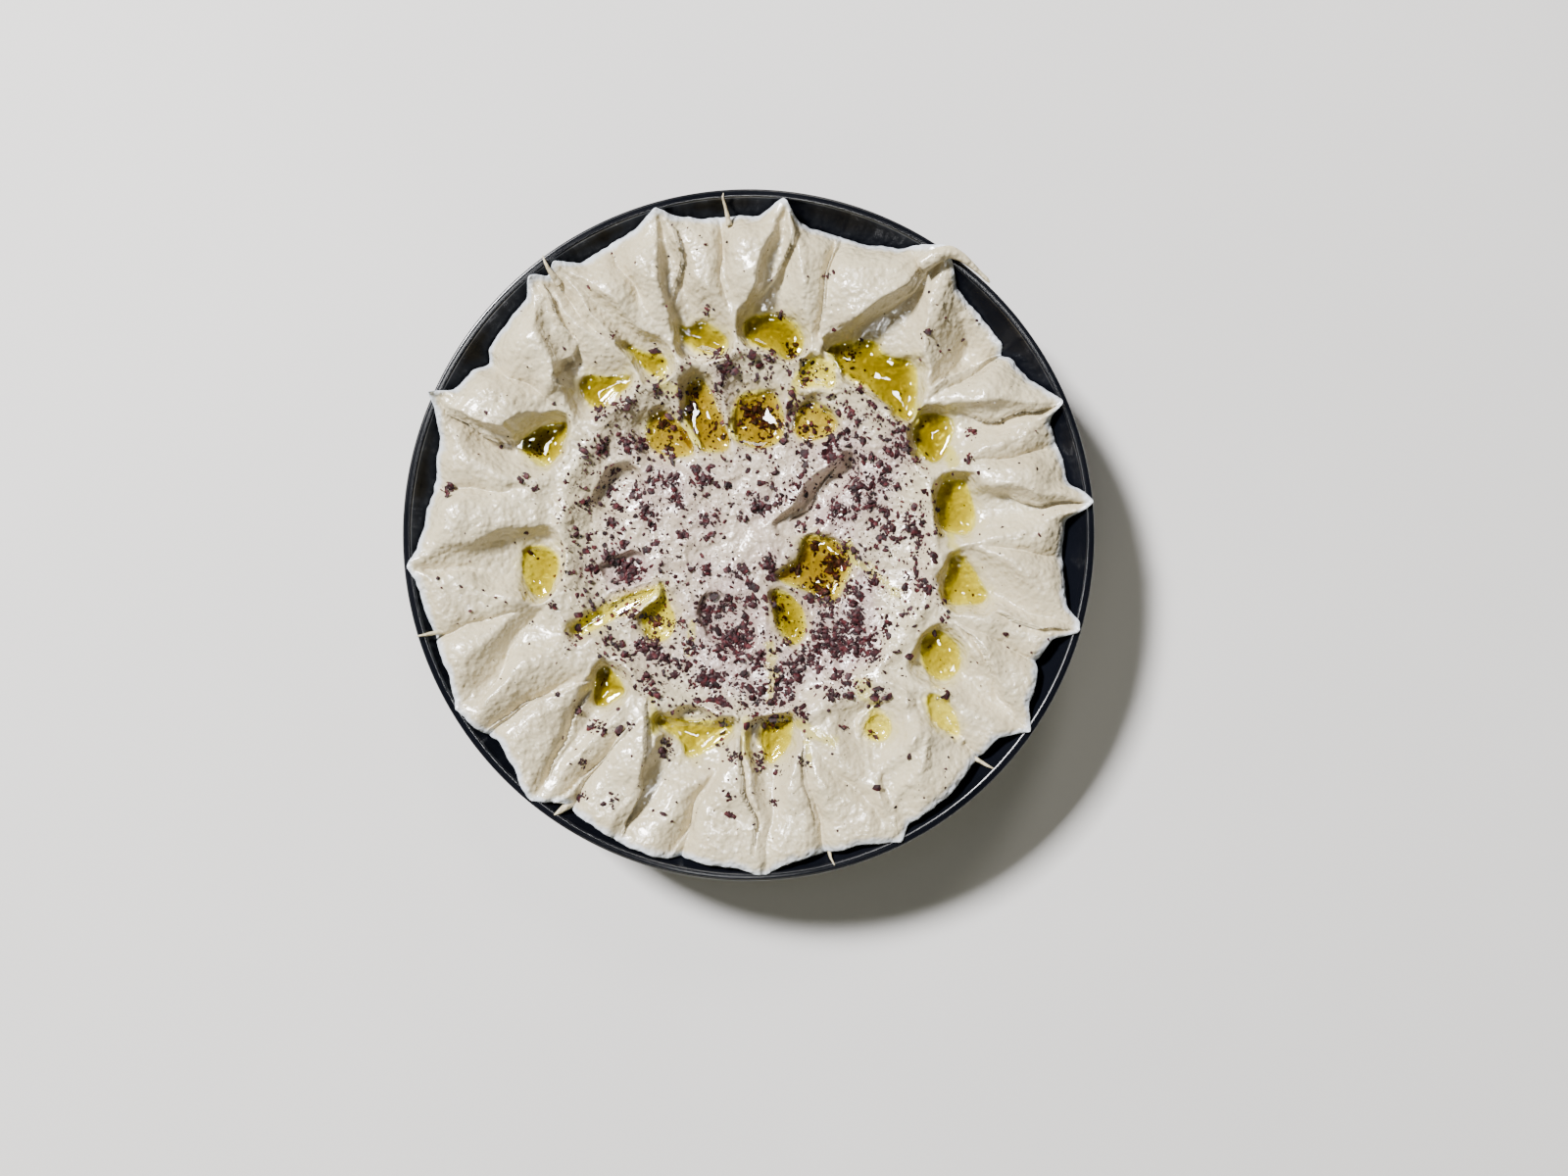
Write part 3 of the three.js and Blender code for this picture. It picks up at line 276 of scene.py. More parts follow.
# Threads of hummus drawn out thin: angle, radius, height and thickness of each point.
THREADS = [
    [(57.4, 92, 43.4, 5), (56, 96.6, 45, 4.6), (54.6, 99.6, 45.2, 3.8), (52.6, 100.4, 45, 2.8),
     (50.4, 100.5, 44.2, 1.9), (48.4, 100.6, 43.4, 1.2), (47, 100.6, 43, 1.3), (46.3, 100.6, 42.8, 0.5)],
    [(197.4, 88, 38, 2.6), (197.4, 93.4, 41, 1.5), (197.2, 97, 43, 1), (197, 99.8, 43.8, 0.3)],
    [(127, 91, 40.4, 2.4), (127, 95, 43, 1.4), (126.8, 97.4, 43.8, 0.9), (126.4, 99.8, 44, 0.3)],
    [(236.6, 90, 38.6, 3.4), (236.2, 94, 40, 2.6), (235.6, 97, 41.6, 1.5), (235.2, 98.4, 42, 0.4)],
    [(315, 90, 39.2, 2), (315.6, 93.4, 40.6, 1.2), (316, 96, 41.4, 0.8), (316.4, 98, 41.6, 0.3)],
    [(284.4, 93, 39, 1.5), (284.2, 96, 41, 0.8), (284.6, 98.4, 42.6, 0.3)],
    [(93.6, 90, 40, 1.8), (94, 94.6, 41.4, 0.9), (94.4, 97.4, 43, 0.6), (94.2, 98.6, 43.4, 0.3)],
]

# Thin films of oil on the hummus: half width and the points of the line that each runs along.
FILMS = [
    (3.2, [(33, -44), (35, -47), (37.4, -50.6)]), (2, [(6, -48), (7, -40), (6.4, -32)]),
    (2, [(29, -2), (32, -8), (37, -11), (43, -17)]), (2.4, [(15, -55), (20, -58), (24, -60)]),
    (2.2, [(-27, 49), (-25.6, 45), (-22, 42)]), (1.8, [(14, 47), (13.6, 42), (12, 39)]),
    (1.6, [(-17, -26), (-18, -34)]), (2.2, [(-28, -48), (-27.6, -57)]),
    (2.2, [(47, 40), (52, 30), (50, 24)]), (1.6, [(-1, -54), (-0.6, -64)]), (1.4, [(17, -61), (17.4, -66)]),
    (2, [(58, 17), (60, 21), (58, 26)]), (2, [(59, 0), (60, -4), (62, -7)]),
]

# ---- Numbers ----


def lerp(a, b, t):
    return a + (b - a) * t


def smoothstep(x, start, end):
    t = np.clip((x - start) / (end - start), 0, 1)
    return t * t * (3 - 2 * t)


def wrapped(angle):
    return (angle + 180) % 360 - 180


def on_circle(angle, radius):
    return np.array([np.cos(np.radians(angle)), np.sin(np.radians(angle))]) * radius


def soft_min(a, b, blend):
    """The lower of two heights, rounded where they meet."""
    gap = np.abs(a - b)
    return np.minimum(a, b) - blend * np.log1p(np.exp(-gap / blend))


def noise(x, y, cell, seed):
    """Smooth random heights, mostly within 1 of 0, with features about a cell wide."""
    turn = np.random.default_rng(seed).uniform(0, 2 * np.pi, (256, 256))
    u, v = x / cell + 128, y / cell + 128
    i, j = np.floor(u).astype(int), np.floor(v).astype(int)
    fu, fv = u - i, v - j
    su, sv = (f**3 * (f * (f * 6 - 15) + 10) for f in (fu, fv))

    def corner(di, dj):
        t = turn[(i + di) & 255, (j + dj) & 255]
        return np.cos(t) * (fu - di) + np.sin(t) * (fv - dj)

    return 1.5 * lerp(lerp(corner(0, 0), corner(1, 0), su), lerp(corner(0, 1), corner(1, 1), su), sv)


def uneven(x, y, layers):
    """The sum of some layers of noise."""
    return sum(height * noise(x, y, cell, seed) for height, cell, seed in layers)


def bumps(x, y, rows):
    """The sum of some round bumps: x, y, spread and height of each."""
    return sum(height * np.exp(-((x - at_x) ** 2 + (y - at_y) ** 2) / spread**2)
               for at_x, at_y, spread, height in rows)


def to_segment(x, y, a, b):
    """How far points are from a line, along x and y, and where along it each is nearest."""
    d = b - a
    t = np.clip(((x - a[0]) * d[0] + (y - a[1]) * d[1]) / (d @ d), 0, 1)
    return x - a[0] - t * d[0], y - a[1] - t * d[1], t


def line_distance(x, y, points):
    """Distance to a line through points."""
    points = np.array(points, float)
    return np.min([np.hypot(*to_segment(x, y, a, b)[:2]) for a, b in zip(points[:-1], points[1:])], axis=0)


def rounded(points, times=2):
    """A closed outline with its corners cut off, more finely each time."""
    points = np.array(points, float)
    for _ in range(times):
        after = np.roll(points, -1, axis=0)
        points = np.stack([lerp(points, after, 0.25), lerp(points, after, 0.75)], axis=1).reshape(-1, 2)
    return points


def outline_distance(x, y, points):
    """Distance to a closed outline with its corners rounded, below 0 inside it."""
    points = rounded(points)
    best = np.full(x.shape, 1e9)
    inside = np.zeros(x.shape, bool)
    for a, b in zip(points, np.roll(points, -1, axis=0)):
        best = np.minimum(best, np.hypot(*to_segment(x, y, a, b)[:2]))
        across, up = b - a
        inside ^= ((a[1] > y) != (b[1] > y)) & (x < a[0] + (y - a[1]) * across / (up or 1e-9))
    return np.where(inside, -best, best)


def near_outline(x, y, points, reach):
    """Which points lie in the widened box round an outline, and the distance of each to the outline."""
    low, high = np.min(points, axis=0) - reach, np.max(points, axis=0) + reach
    near = (x > low[0]) & (x < high[0]) & (y > low[1]) & (y < high[1])
    return near, outline_distance(x[near], y[near], points)


# ---- The surface ----


def dish_height(radius):
    """Height of the dish's inside."""
    share = np.clip((radius - FLOOR_RADIUS) / (WALL_TOP - FLOOR_RADIUS), 0, 1)
    return FLOOR_TOP + (DISH_HEIGHT - RIM_FILLET - FLOOR_TOP) * share**WALL_CURVE


def base_height(radius):
    """Height of the mound with nothing cut into it."""
    return lerp(CENTRE_HEIGHT, SHOULDER_HEIGHT, smoothstep(radius, *SHOULDER_RISE))


def frontness(angle):
    """1 over the front of the dish and 0 at its back."""
    return smoothstep(np.cos(np.radians(angle - FRONT)), *FRONT_SPREAD)


def outer_stroke(pool, half, section, tip, floor_height, tip_depth, bend):
    to_tip = on_circle(*tip[:2]) - on_circle(*pool)
    heading = np.degrees(np.arctan2(to_tip[1], to_tip[0]))
    return dict(pool=pool, half=half, section=section, out=np.hypot(*to_tip), heading=heading,
                depth=base_height(pool[1]) - floor_height, tip_depth=tip_depth, bend=bend, **OUTER_SHAPE)


def inner_stroke(pool, half, out, inward, depth):
    return dict(pool=pool, half=half, out=out, inward=inward, depth=depth, heading=pool[0], **INNER_SHAPE)


STROKES = [outer_stroke(*row) for _, *row in OUTER] + [inner_stroke(*row) for row in INNER]


def cut_stroke(top, x, y, pool, half, section, out, inward, depth, heading, tip_depth, rise, taper,
               roundness, bend, blend):
    """The top with one spoon stroke cut into it, and how smooth the spoon has left it, from 0 to 1."""
    origin, axis = on_circle(*pool), on_circle(heading, 1)
    dx, dy = x - origin[0], y - origin[1]
    along = dx * axis[0] + dy * axis[1]
    bent = bend * np.sin(np.pi * np.clip(along / out, 0, 1))
    across = dx * axis[1] - dy * axis[0] - bent
    half_across = np.where(across < 0, half[1], half[0])
    power = np.where(along > 0, taper, roundness)
    far = np.abs(along) / np.where(along > 0, out, inward)
    share = ((np.abs(across) / half_across) ** power + far**power) ** (1 / power)  # 1 on its outline
    depth = lerp(depth, tip_depth, smoothstep(along / out, *rise))
    steep = lerp(section[1], section[0], smoothstep(across / half_across, -0.3, 0.3))
    steep = lerp(INWARD_SECTION, steep, smoothstep(along / out, -0.6, 0.2))
    floor = base_height(np.hypot(x, y)) - depth * (1 - np.minimum(share, STROKE_REACH) ** steep)
    floor = floor + uneven(across, along / LINE_LENGTH, SPOON_LINES) * smoothstep(share, 1.2, 0.6)
    return np.where(share < STROKE_REACH, soft_min(top, floor, blend), top), smoothstep(share, 1.05, 0.85)


def basin(off, depth, slope):
    """Height over a hollow's outline, from the distance to it: a round bed inside, a steep bank outside."""
    return np.where(off < 0, -depth * (1 - np.exp(slope * off / depth)), BANK_SLOPE * off)


def cut_pools(top, x, y):
    """The top with the pools' beds cut into it and their banks raised to hold the oil."""
    for _, _, level, depth, points in POOLS:
        near, off = near_outline(x, y, points, 8)
        cut = soft_min(top[near], level + basin(off, depth, POOL_SLOPE), BLEND)
        held = np.maximum(cut, level + DAM_SLOPE * off)
        top[near] = lerp(cut, held, smoothstep(off, *DAM_REACH) * (off > 0))
    return top


def cut_hollows(top, x, y):
    """The top with the dry hollows cut into it."""
    for rim, depth, way, points in HOLLOWS:
        near, off = near_outline(x, y, points, 8)
        middle, size = np.mean(points, axis=0), np.ptp(points, axis=0).max() / 2
        ahead = on_circle(way, 1)
        lean = ((x[near] - middle[0]) * ahead[0] + (y[near] - middle[1]) * ahead[1]) / size
        full = depth * np.clip(HOLLOW_LEAN[0] + HOLLOW_LEAN[1] * lean, HOLLOW_LEAN[2], 1)
        bed = base_height(np.hypot(x[near], y[near])) - rim + basin(off, full, HOLLOW_SLOPE)
        top[near] = soft_min(top[near], bed, BLEND)
    return top


def fold_height(x, y):
    """Height that the folds add. The top of a ridge is rounder than the bottom of a groove."""
    total = np.zeros_like(x)
    for left, left_reach, right, right_reach, points in FOLDS:
        points = np.array(points, float)
        steps = np.hypot(*np.diff(points, axis=0).T)
        start = np.concatenate([[0], np.cumsum(steps)]) / steps.sum()
        best = np.full(x.shape, 1e9)
        side, place = np.zeros_like(x), np.zeros_like(x)
        for k, (a, b) in enumerate(zip(points[:-1], points[1:])):
            off_x, off_y, t = to_segment(x, y, a, b)
            far = np.hypot(off_x, off_y)
            closer = far < best
            best = np.where(closer, far, best)
            side = np.where(closer, (b - a)[0] * off_y - (b - a)[1] * off_x, side)
            place = np.where(closer, lerp(start[k], start[k + 1], t), place)
        sides = []
        for height, reach in ((left, left_reach), (right, right_reach)):
            rounding = RIDGE_ROUNDING if height > 0 else GROOVE_ROUNDING
            sides.append(height * np.exp(-(np.hypot(best, rounding) - rounding) / reach))
        fade = smoothstep(place, 0, FOLD_FADE) * smoothstep(1 - place, 0, FOLD_FADE)
        total += FOLD_GAIN * fade * np.where(side > 0, *sides)
    return total


def crease_depth(angle, radius):
    """Depth of the creases between the outer strokes."""
    run = smoothstep(radius, *CREASE_RUN)
    turns = (np.abs(wrapped(angle - lerp(ring, edge, run))) for (edge, ring), *_ in OUTER)
    return CREASE_DEPTH * run * sum(np.exp(-np.radians(turn) * radius / CREASE_WIDTH) for turn in turns)


def top_surface(angle, radius):
    """Height of the top at some angles and radii."""
    x, y = radius * np.cos(np.radians(angle)), radius * np.sin(np.radians(angle))
    ease, calm = smoothstep(radius, *WARPED), lerp(1, 0.5, smoothstep(radius, *CALM))
    wx, wy = x + ease * uneven(x, y, WARP_X), y + ease * uneven(x, y, WARP_Y)
    top = base_height(radius) - crease_depth(np.degrees(np.arctan2(wy, wx)), np.hypot(wx, wy))
    top += bumps(wx, wy, [(*on_circle(at, out), spread, height) for at, out, spread, height in LUMPS])
    ridge_at, ridge_width, ridge_height = RING_RIDGE
    bead = 1 + uneven(angle, 0 * angle, RIDGE_BEADS)
    top += ridge_height * bead * np.exp(-((np.hypot(wx, wy) - ridge_at) / ridge_width) ** 2)
    top += FRONT_RISE * frontness(angle) * smoothstep(radius, *FRONT_RUN)
    top += calm * uneven(x, y, SWELLS)
    smoothed = np.zeros_like(x)
    for stroke in STROKES:
        top, smooth = cut_stroke(top, wx, wy, **stroke)
        smoothed = np.maximum(smoothed, smooth)
    rough = 1 - smoothed
    top += fold_height(wx, wy) * smoothstep(radius, *FOLDED)
    top += calm * lerp(0.5, 1, rough) * uneven(x, y, RIPPLES)
    top += smoothstep(radius, *MIDDLE) * rough * uneven(x, y, MIDDLE_RIPPLES)
    shore_x, shore_y = x + uneven(x, y, SHORE_X), y + uneven(x, y, SHORE_Y)
    return cut_pools(cut_hollows(top, shore_x, shore_y), shore_x, shore_y)


def surface_at(x, y):
    return top_surface(np.degrees(np.arctan2(y, x)), np.hypot(x, y))


def outline(angle):
    """Radius of the hummus's outer edge as seen from above, and of the line where it meets the dish."""
    step = 0.1
    fine = np.arange(-10, 370, step)
    corners = np.array(EDGE, float)
    radius = np.interp(fine % 360, corners[:, 0], corners[:, 1], period=360)
    kernel = np.exp(-(np.arange(-2, 2 + step / 2, step) / EDGE_ROUNDING) ** 2 / 2)
    radius = np.convolve(radius, kernel / kernel.sum(), "same")
    out = np.interp(angle, fine, radius) + uneven(angle, 0 * angle, EDGE_WOBBLE)
    return out, np.minimum(out - 0.25, CONTACT_RADIUS)


def clear_of_dish(radius):
    """Lowest height for the hummus's edge, over the dish's wall and its rim."""
    return np.where(radius < WALL_TOP, dish_height(radius), DISH_HEIGHT) + EDGE_GAP


# ---- Meshes ----


def placed(name, data):
    """A new object in the scene, with its mesh, light or camera."""
    item = bpy.data.objects.new(name, data)
    bpy.context.scene.collection.objects.link(item)
    return item


def new_piece(name, vertices, faces, material, smooth=True):
    """A mesh object from points in millimetres."""
    mesh = bpy.data.meshes.new(name)
    mesh.from_pydata([tuple(v) for v in np.asarray(vertices) * MM], [], faces)
    mesh.validate()
    mesh.materials.append(material)
    mesh.polygons.foreach_set("use_smooth", [smooth] * len(mesh.polygons))
    piece = placed(name, mesh)
    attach(piece, "root")
    return piece


def capped_faces(rows, columns):
    """Quads between rings of points, with fans to the two points after them that close the ends."""
    sides = [(j, (j + 1) % columns) for j in range(columns)]
    end = (rows - 1) * columns
    faces = [(i + j, i + k, i + columns + k, i + columns + j)
             for i in range(0, end, columns) for j, k in sides]
    for j, k in sides:
        faces += [(k, j, end + columns), (end + j, end + k, end + columns + 1)]
    return faces


def fillet(centre, radius, start, end, steps=6):
    return [tuple(np.array(centre) + on_circle(a, radius)) for a in np.linspace(start, end, steps)]


def dish_profile():
    """Half the section of the dish, from its underside round the rim to its floor."""
    radii = lerp(FLOOR_RADIUS, WALL_TOP, np.linspace(0, 1, 40))
    inside = np.stack([radii, dish_height(radii)], axis=1)
    slope = np.gradient(inside[:, 1], inside[:, 0])
    outward = np.stack([slope, -np.ones_like(slope)], axis=1) / np.hypot(1, slope)[:, None]
    outside = inside + outward * DISH_WALL
    r, z = outside.T
    outside = outside[(z > 2.6) & (r > FOOT_OUTER + 1) & (r < RIM_RADIUS - 0.3)]
    f = RIM_FILLET
    return [
        (0, FOOT_RECESS), (FOOT_INNER - 1.4, FOOT_RECESS), *fillet((FOOT_INNER - 0.2, 1.4), 1, 150, 200, 3),
        (FOOT_INNER + 1, 0), (FOOT_OUTER - 1, 0), *fillet((FOOT_OUTER - 0.8, 0.8), 0.8, 285, 360, 4),
        *outside, (RIM_RADIUS, DISH_HEIGHT - 2.6),
        *fillet((RIM_RADIUS - f, DISH_HEIGHT - f), f, 0, 90),
        *fillet((WALL_TOP + f, DISH_HEIGHT - f), f, 90, 180),
        *inside[::-1][1:], (0, FLOOR_TOP),
    ]


def dish_body(columns=288):
    """The dish, spun from its profile, with a second glaze on the rounded edges of its rim."""
    profile = np.array(dish_profile(), float)
    turn = np.linspace(0, 2 * np.pi, columns, endpoint=False)
    ring = profile[1:-1]
    points = np.stack([np.outer(ring[:, 0], np.cos(turn)), np.outer(ring[:, 0], np.sin(turn)),
                       np.repeat(ring[:, 1:2], columns, axis=1)], axis=-1).reshape(-1, 3)
    ends = [(0, 0, profile[0, 1]), (0, 0, profile[-1, 1])]
    dish = new_piece("dish_glazed", np.vstack([points, ends]), capped_faces(len(ring), columns),
                     dish_material("black_glaze", 0.12, 1.16))
    dish.data.materials.append(dish_material("rim_glaze", 0.18, 1.5))
    for polygon in dish.data.polygons:
        from_middle = abs(polygon.center.xy.length - (RIM_RADIUS + WALL_TOP) / 2 * MM)
        on_fillet = from_middle > (RIM_LIP / 2 - RIM_FILLET) * MM
        polygon.material_index = int(on_fillet and polygon.center.z > (DISH_HEIGHT - RIM_FILLET) * MM)
    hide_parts("dish")


COLUMNS = 1300
CROWDING = (3.2, 1.1)  # how much closer the columns are at a spike or a crease, and over how many degrees
TOP_RUNS = ((0.012, 0.3, 34), (0.305, 0.9, 130), (0.904, 1, 26))  # shares of the radius, and how many rows
TOP_SHARES = np.concatenate([np.linspace(*run) for run in TOP_RUNS])
EDGE_SHARES = (0.12, 0.3, 0.5, 0.75, 1)  # rows from the edge down to where it meets the dish
BED_RADII = (84, 74, 62, 50)  # and from there along the dish
BED_GAP = 0.35
HUMMUS_TRIANGLES = 196_000


def column_angles():
    """Angles of the hummus's columns, closer together at the spikes and creases."""
    fine = np.linspace(0, 360, 14401)
    marks = [*TIPS[:, 0], *(crease[0] for crease, *_ in OUTER)]
    weight = 1 + sum(CROWDING[0] * np.exp(-(wrapped(fine - mark) / CROWDING[1]) ** 2) for mark in marks)
    total = np.concatenate([[0], np.cumsum((weight[1:] + weight[:-1]) / 2)])
    return np.interp(np.linspace(0, total[-1], COLUMNS + 1)[:-1], total, fine)


def hummus_points():
    """Rows of points over the top, round the edge, and down along the dish to its floor."""
    angle = column_angles()
    out, foot = outline(angle)
    radius = np.outer(TOP_SHARES, out)
    grid = np.broadcast_to(angle, radius.shape)
    top = top_surface(grid, radius)
    to_tips = np.abs(wrapped(angle - TIPS[:, :1]))
    at_tip = np.exp(-to_tips.min(axis=0) / TIP_WIDTH)
    tip_height = TIPS[np.argmin(to_tips, axis=0), 2]
    contact = dish_height(foot)
    lip = np.maximum(lerp(contact + EDGE_THICKNESS, tip_height - 0.4, at_tip), clear_of_dish(out))
    lip = np.maximum(lip, lerp(lip, top[-1] - FRONT_DROP, frontness(angle)))
    run = lerp(lerp(*EDGE_RUN, frontness(angle)), TIP_RUN, at_tip)
    climb = np.sin(np.pi / 2 * np.clip((out - radius) / run, 0, 1)) ** 0.75
    rows = [*zip(radius, lerp(lip, top, climb))]
    for share in EDGE_SHARES:
        rows.append((lerp(out, foot, share), lerp(lip - 0.25 - 0.5 * at_tip, contact + 0.1, share**0.8)))
    for r in BED_RADII:
        rows.append((r, np.full_like(angle, dish_height(r) + BED_GAP)))
    return np.array([np.stack([*(on_circle(angle, 1) * r), height], axis=-1) for r, height in rows])


def hummus(material):
    """The hummus, as one closed body."""
    points = hummus_points()
    rows, columns = points.shape[:2]
    ends = [points[0].mean(axis=0), (0, 0, dish_height(0) + BED_GAP)]
    faces = [tuple(reversed(face)) for face in capped_faces(rows, columns)]
    piece = new_piece("hummus_spooned", np.vstack([points.reshape(-1, 3), ends]), faces, material)
    thin_out(piece, HUMMUS_TRIANGLES)
    mark_oiled(piece.data)
    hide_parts("hummus")


def thin_out(piece, triangles):
    """Merges the flattest triangles until so many are left."""
    thinning = piece.modifiers.new("thinning", "DECIMATE")
    thinning.ratio = triangles / sum(len(p.vertices) - 2 for p in piece.data.polygons)
    thinned = bpy.data.meshes.new_from_object(piece.evaluated_get(bpy.context.evaluated_depsgraph_get()))
    piece.modifiers.clear()
    thinned.name = piece.data.name
    piece.data = thinned
    thinned.polygons.foreach_set("use_smooth", [True] * len(thinned.polygons))


def mark_oiled(mesh):
    """Stores on the mesh where it has a film of oil, is wet, is stained by sumac, or lies near the outer edge,
    where it is tinted paler and bluer.
    """
    place = np.empty(3 * len(mesh.vertices))
    mesh.vertices.foreach_get("co", place)
    x, y, _ = place.reshape(-1, 3).T / MM
    radius, angle = np.hypot(x, y), np.degrees(np.arctan2(y, x)) % 360
    ragged = uneven(x, y, OIL_EDGE)
    film, shore, soaked = np.zeros_like(x), np.zeros_like(x), np.zeros_like(x)
    for half, points in FILMS:
        film = np.maximum(film, smoothstep(line_distance(x, y, points) + ragged, half, 0.4 * half))
    for *_, points in POOLS:
        near, off = near_outline(x, y, points, 6)
        shore[near] = np.maximum(shore[near], smoothstep(off + ragged[near], 3.4, 0.8))
        soaked[near] = np.maximum(soaked[near], smoothstep(off, 0.9, 0.2))
    patches = smoothstep(uneven(x, y, WET_PATCHES), 0.1, 0.5) * smoothstep(radius, 66, 56)
    stain = 0.34 * bumps(x, y, heap_rows() * (1, 1, STAIN_REACH, 1)) + 0.45 * smoothstep(radius, 52, 24)
    out, _ = outline(angle)
    marks = {
        "film": np.maximum(0.62 * film + 0.25 * shore, 0.9 * soaked),
        "wet": np.maximum(np.maximum(film, shore), 0.8 * patches),
        "stain": np.clip(stain, 0, 0.85) * smoothstep(radius, 70, 50),
        "edge": smoothstep(radius - out + 0.5 * ragged, -2.6, -0.4),
    }
    for name, values in marks.items():
        layer = mesh.attributes.new(name, "FLOAT", "POINT")
        layer.data.foreach_set("value", np.clip(values, 0, 1).astype(np.float32))


THREAD_SIDES = 12
THREAD_STEPS = 6  # steps along a thread for each of its points


def threads(material):
    """The drawn-out threads of hummus, as one mesh of tapering tubes."""
    vertices, faces = [], []
    turn = np.linspace(0, 2 * np.pi, THREAD_SIDES, endpoint=False)[:, None]
    for points in THREADS:
        count = THREAD_STEPS * len(points)
        rows = [(*on_circle(*place), height, thickness / 2) for *place, height, thickness in points]
        along = np.linspace(0, len(points) - 1, count)
        *path, half = [np.interp(along, range(len(points)), column) for column in np.transpose(rows)]
        path = np.stack(path, axis=1)
        for _ in range(4):
            path[1:-1] = (path[:-2] + 2 * path[1:-1] + path[2:]) / 4
        ahead = np.gradient(path, axis=0)
        ahead /= np.linalg.norm(ahead, axis=1)[:, None]
        across = np.cross((0, 0, 1), ahead)
        across /= np.linalg.norm(across, axis=1)[:, None]
        ring = np.cos(turn) * across[:, None] + np.sin(turn) * np.cross(ahead, across)[:, None]
        tube = path[:, None] + ring * half[:, None, None]
        faces += [tuple(len(vertices) + v for v in face) for face in capped_faces(count, THREAD_SIDES)]
        vertices += [*tube.reshape(-1, 3), path[0], path[-1]]
    piece = new_piece("hummus_threads", vertices, faces, material)


# ---- Oil ----

MENISCUS = 0.9  # how far the oil climbs where it meets the hummus
MENISCUS_REACH = 2.0  # distance over which it climbs
OIL_DROP = 0.2  # how far the middle of a pool lies under its level
OIL_SINK = 0.5  # how far the oil's underside is sunk in the hummus
OIL_STEP = 0.42  # size of the squares that a pool is made of
OIL_SPREAD = 2.6  # how far oil can reach past its outline


def oil_pool(name, level, points, material):
    """Oil standing in a hollow: a level top that climbs at its edge, closed a little below the hummus."""
    low, high = np.min(points, axis=0) - OIL_SPREAD, np.max(points, axis=0) + OIL_SPREAD
    x, y = np.meshgrid(*(np.arange(low[k], high[k], OIL_STEP) for k in (0, 1)))
    bed = surface_at(x, y)
    off = outline_distance(x, y, points)
    top = level - OIL_DROP + MENISCUS * np.exp(np.minimum(off, 0) / MENISCUS_REACH) + uneven(x, y, OIL_WAVES)
    wet = (bed < level + MENISCUS + 0.5) & (off < OIL_SPREAD)
    cells = wet[:-1, :-1] & wet[1:, :-1] & wet[:-1, 1:] & wet[1:, 1:]
    under = np.minimum(bed, top) - OIL_SINK
    vertices = np.vstack([np.stack([x, y, z], axis=-1).reshape(-1, 3) for z in (top, under)])
    faces = []
    count, columns = x.size, x.shape[1]
    filled = np.pad(cells, 1)
    for i, j in np.argwhere(cells):
        a, b = i * columns + j, (i + 1) * columns + j
        faces += [(a, a + 1, b + 1, b), (a + count, b + count, b + 1 + count, a + 1 + count)]
        sides = (((0, 1), a + 1, a), ((2, 1), b, b + 1), ((1, 0), a, b), ((1, 2), b + 1, a + 1))
        faces += [(p, q, q + count, p + count) for (di, dj), p, q in sides if not filled[i + di, j + dj]]
    used, faces = np.unique(faces, return_inverse=True)
    piece = new_piece(name + "_liquid", vertices[used], faces.reshape(-1, 4).tolist(), material)
    piece.visible_shadow = False
    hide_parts(name)


# ---- Sumac ----

# Where the sumac lies in heaps: the spread of each and its share, and the middles of the heaps of that size.
HEAPS = {
    (3, 6.5): [(-7, -31), (27, -30)],
    (2.3, 2.5): [
        (24.5, -8.5), (-3, -33), (-36, -11), (-1, -28), (-36, -11), (30, -17), (31.5, -23), (21, -17),
        (17, -35), (24.5, 28), (43.5, 25.4), (39, 16), (2, 37), (25.5, 7), (-6, -20), (20.5, -28.5),
        (9.5, -43.5), (6, 34), (24, -21),
    ],
    (1.7, 1.1): [
        (-36, 38.5), (-43.5, 36.5), (-43, 25), (-31.5, 26.5), (-36, 27.5), (-24, 33), (-24.5, 26),
        (-27.5, 17), (-22.5, 16.5), (-21.5, 12), (-40.5, 15.5), (-32.8, 13.8), (-30.5, 7.6), (-40.5, 3),
        (-41.5, -5.5), (-46.5, -9.5), (-36, -11), (-13.5, -10), (-12.5, 4.3), (3, 8.3), (-9, 43.5),
        (-8, 51.5), (12.5, 37.6), (32.5, 28.6), (24, 22.6), (32, 23), (44, 31), (31, 15.5), (34.5, 10.5),
        (14, 14.5), (40.5, 1.8), (47.5, 4), (50, -2), (28, -3), (28, -7), (20, -14), (6, -7), (36, -12),
        (49, -11), (51.5, -15.5), (30, 53.5), (12.5, 54.5), (-12.5, -21), (-12, -25.5), (2.5, -36),
        (-3, -11), (-2, -43.5), (-8, -42), (-12, -42), (-9, -49), (-17, -33), (-19.6, -37.6), (-26.5, -36),
        (-31.5, -33), (-28.5, -31.6), (-27, -25), (-34.5, -22), (-51, -30), (-30, -43), (-24, -63),
        (17.5, -17.5), (26, -34), (33, -31.5), (36, -34.5), (12.5, -37), (13.5, -40.5), (7.5, -48),
        (2, -44.5), (2, -48.5), (15.5, -51.5), (7, -54), (23.5, -46), (27.5, -43), (2, -37.5), (7, -19),
        (38.6, -46), (3, -66), (-62.5, 25), (19.5, -37.5), (31.5, -27), (-4, -64),
    ],
    (1, 0.45): [
        (-87, 14), (-65.6, 16.4), (-62, 14), (23.2, 74.7), (51.5, 58.3), (9.6, 65), (64.5, 30.6), (64, 22.6),
        (-5.7, -74.6), (-5.2, -80.5), (2.5, -74.6), (7.5, -77.3), (-47.7, -75), (-39, -76), (-12, 66),
        (-27.7, 55), (-39.6, 57.7), (-48, -66), (-45.5, -55), (-42.5, -55.5), (-38.6, -57), (-34, -55),
        (-49.5, -51), (-57, -20), (56.5, -24.2), (14.8, -65.5), (17, -66.6), (8.5, -68.8), (-8, -61),
        (35.5, -58), (28, -56), (57.5, -46), (-24.5, -59.4), (55.5, -20),
    ],
}
CLUMPS = 130  # small heaps that lie anywhere on the middle
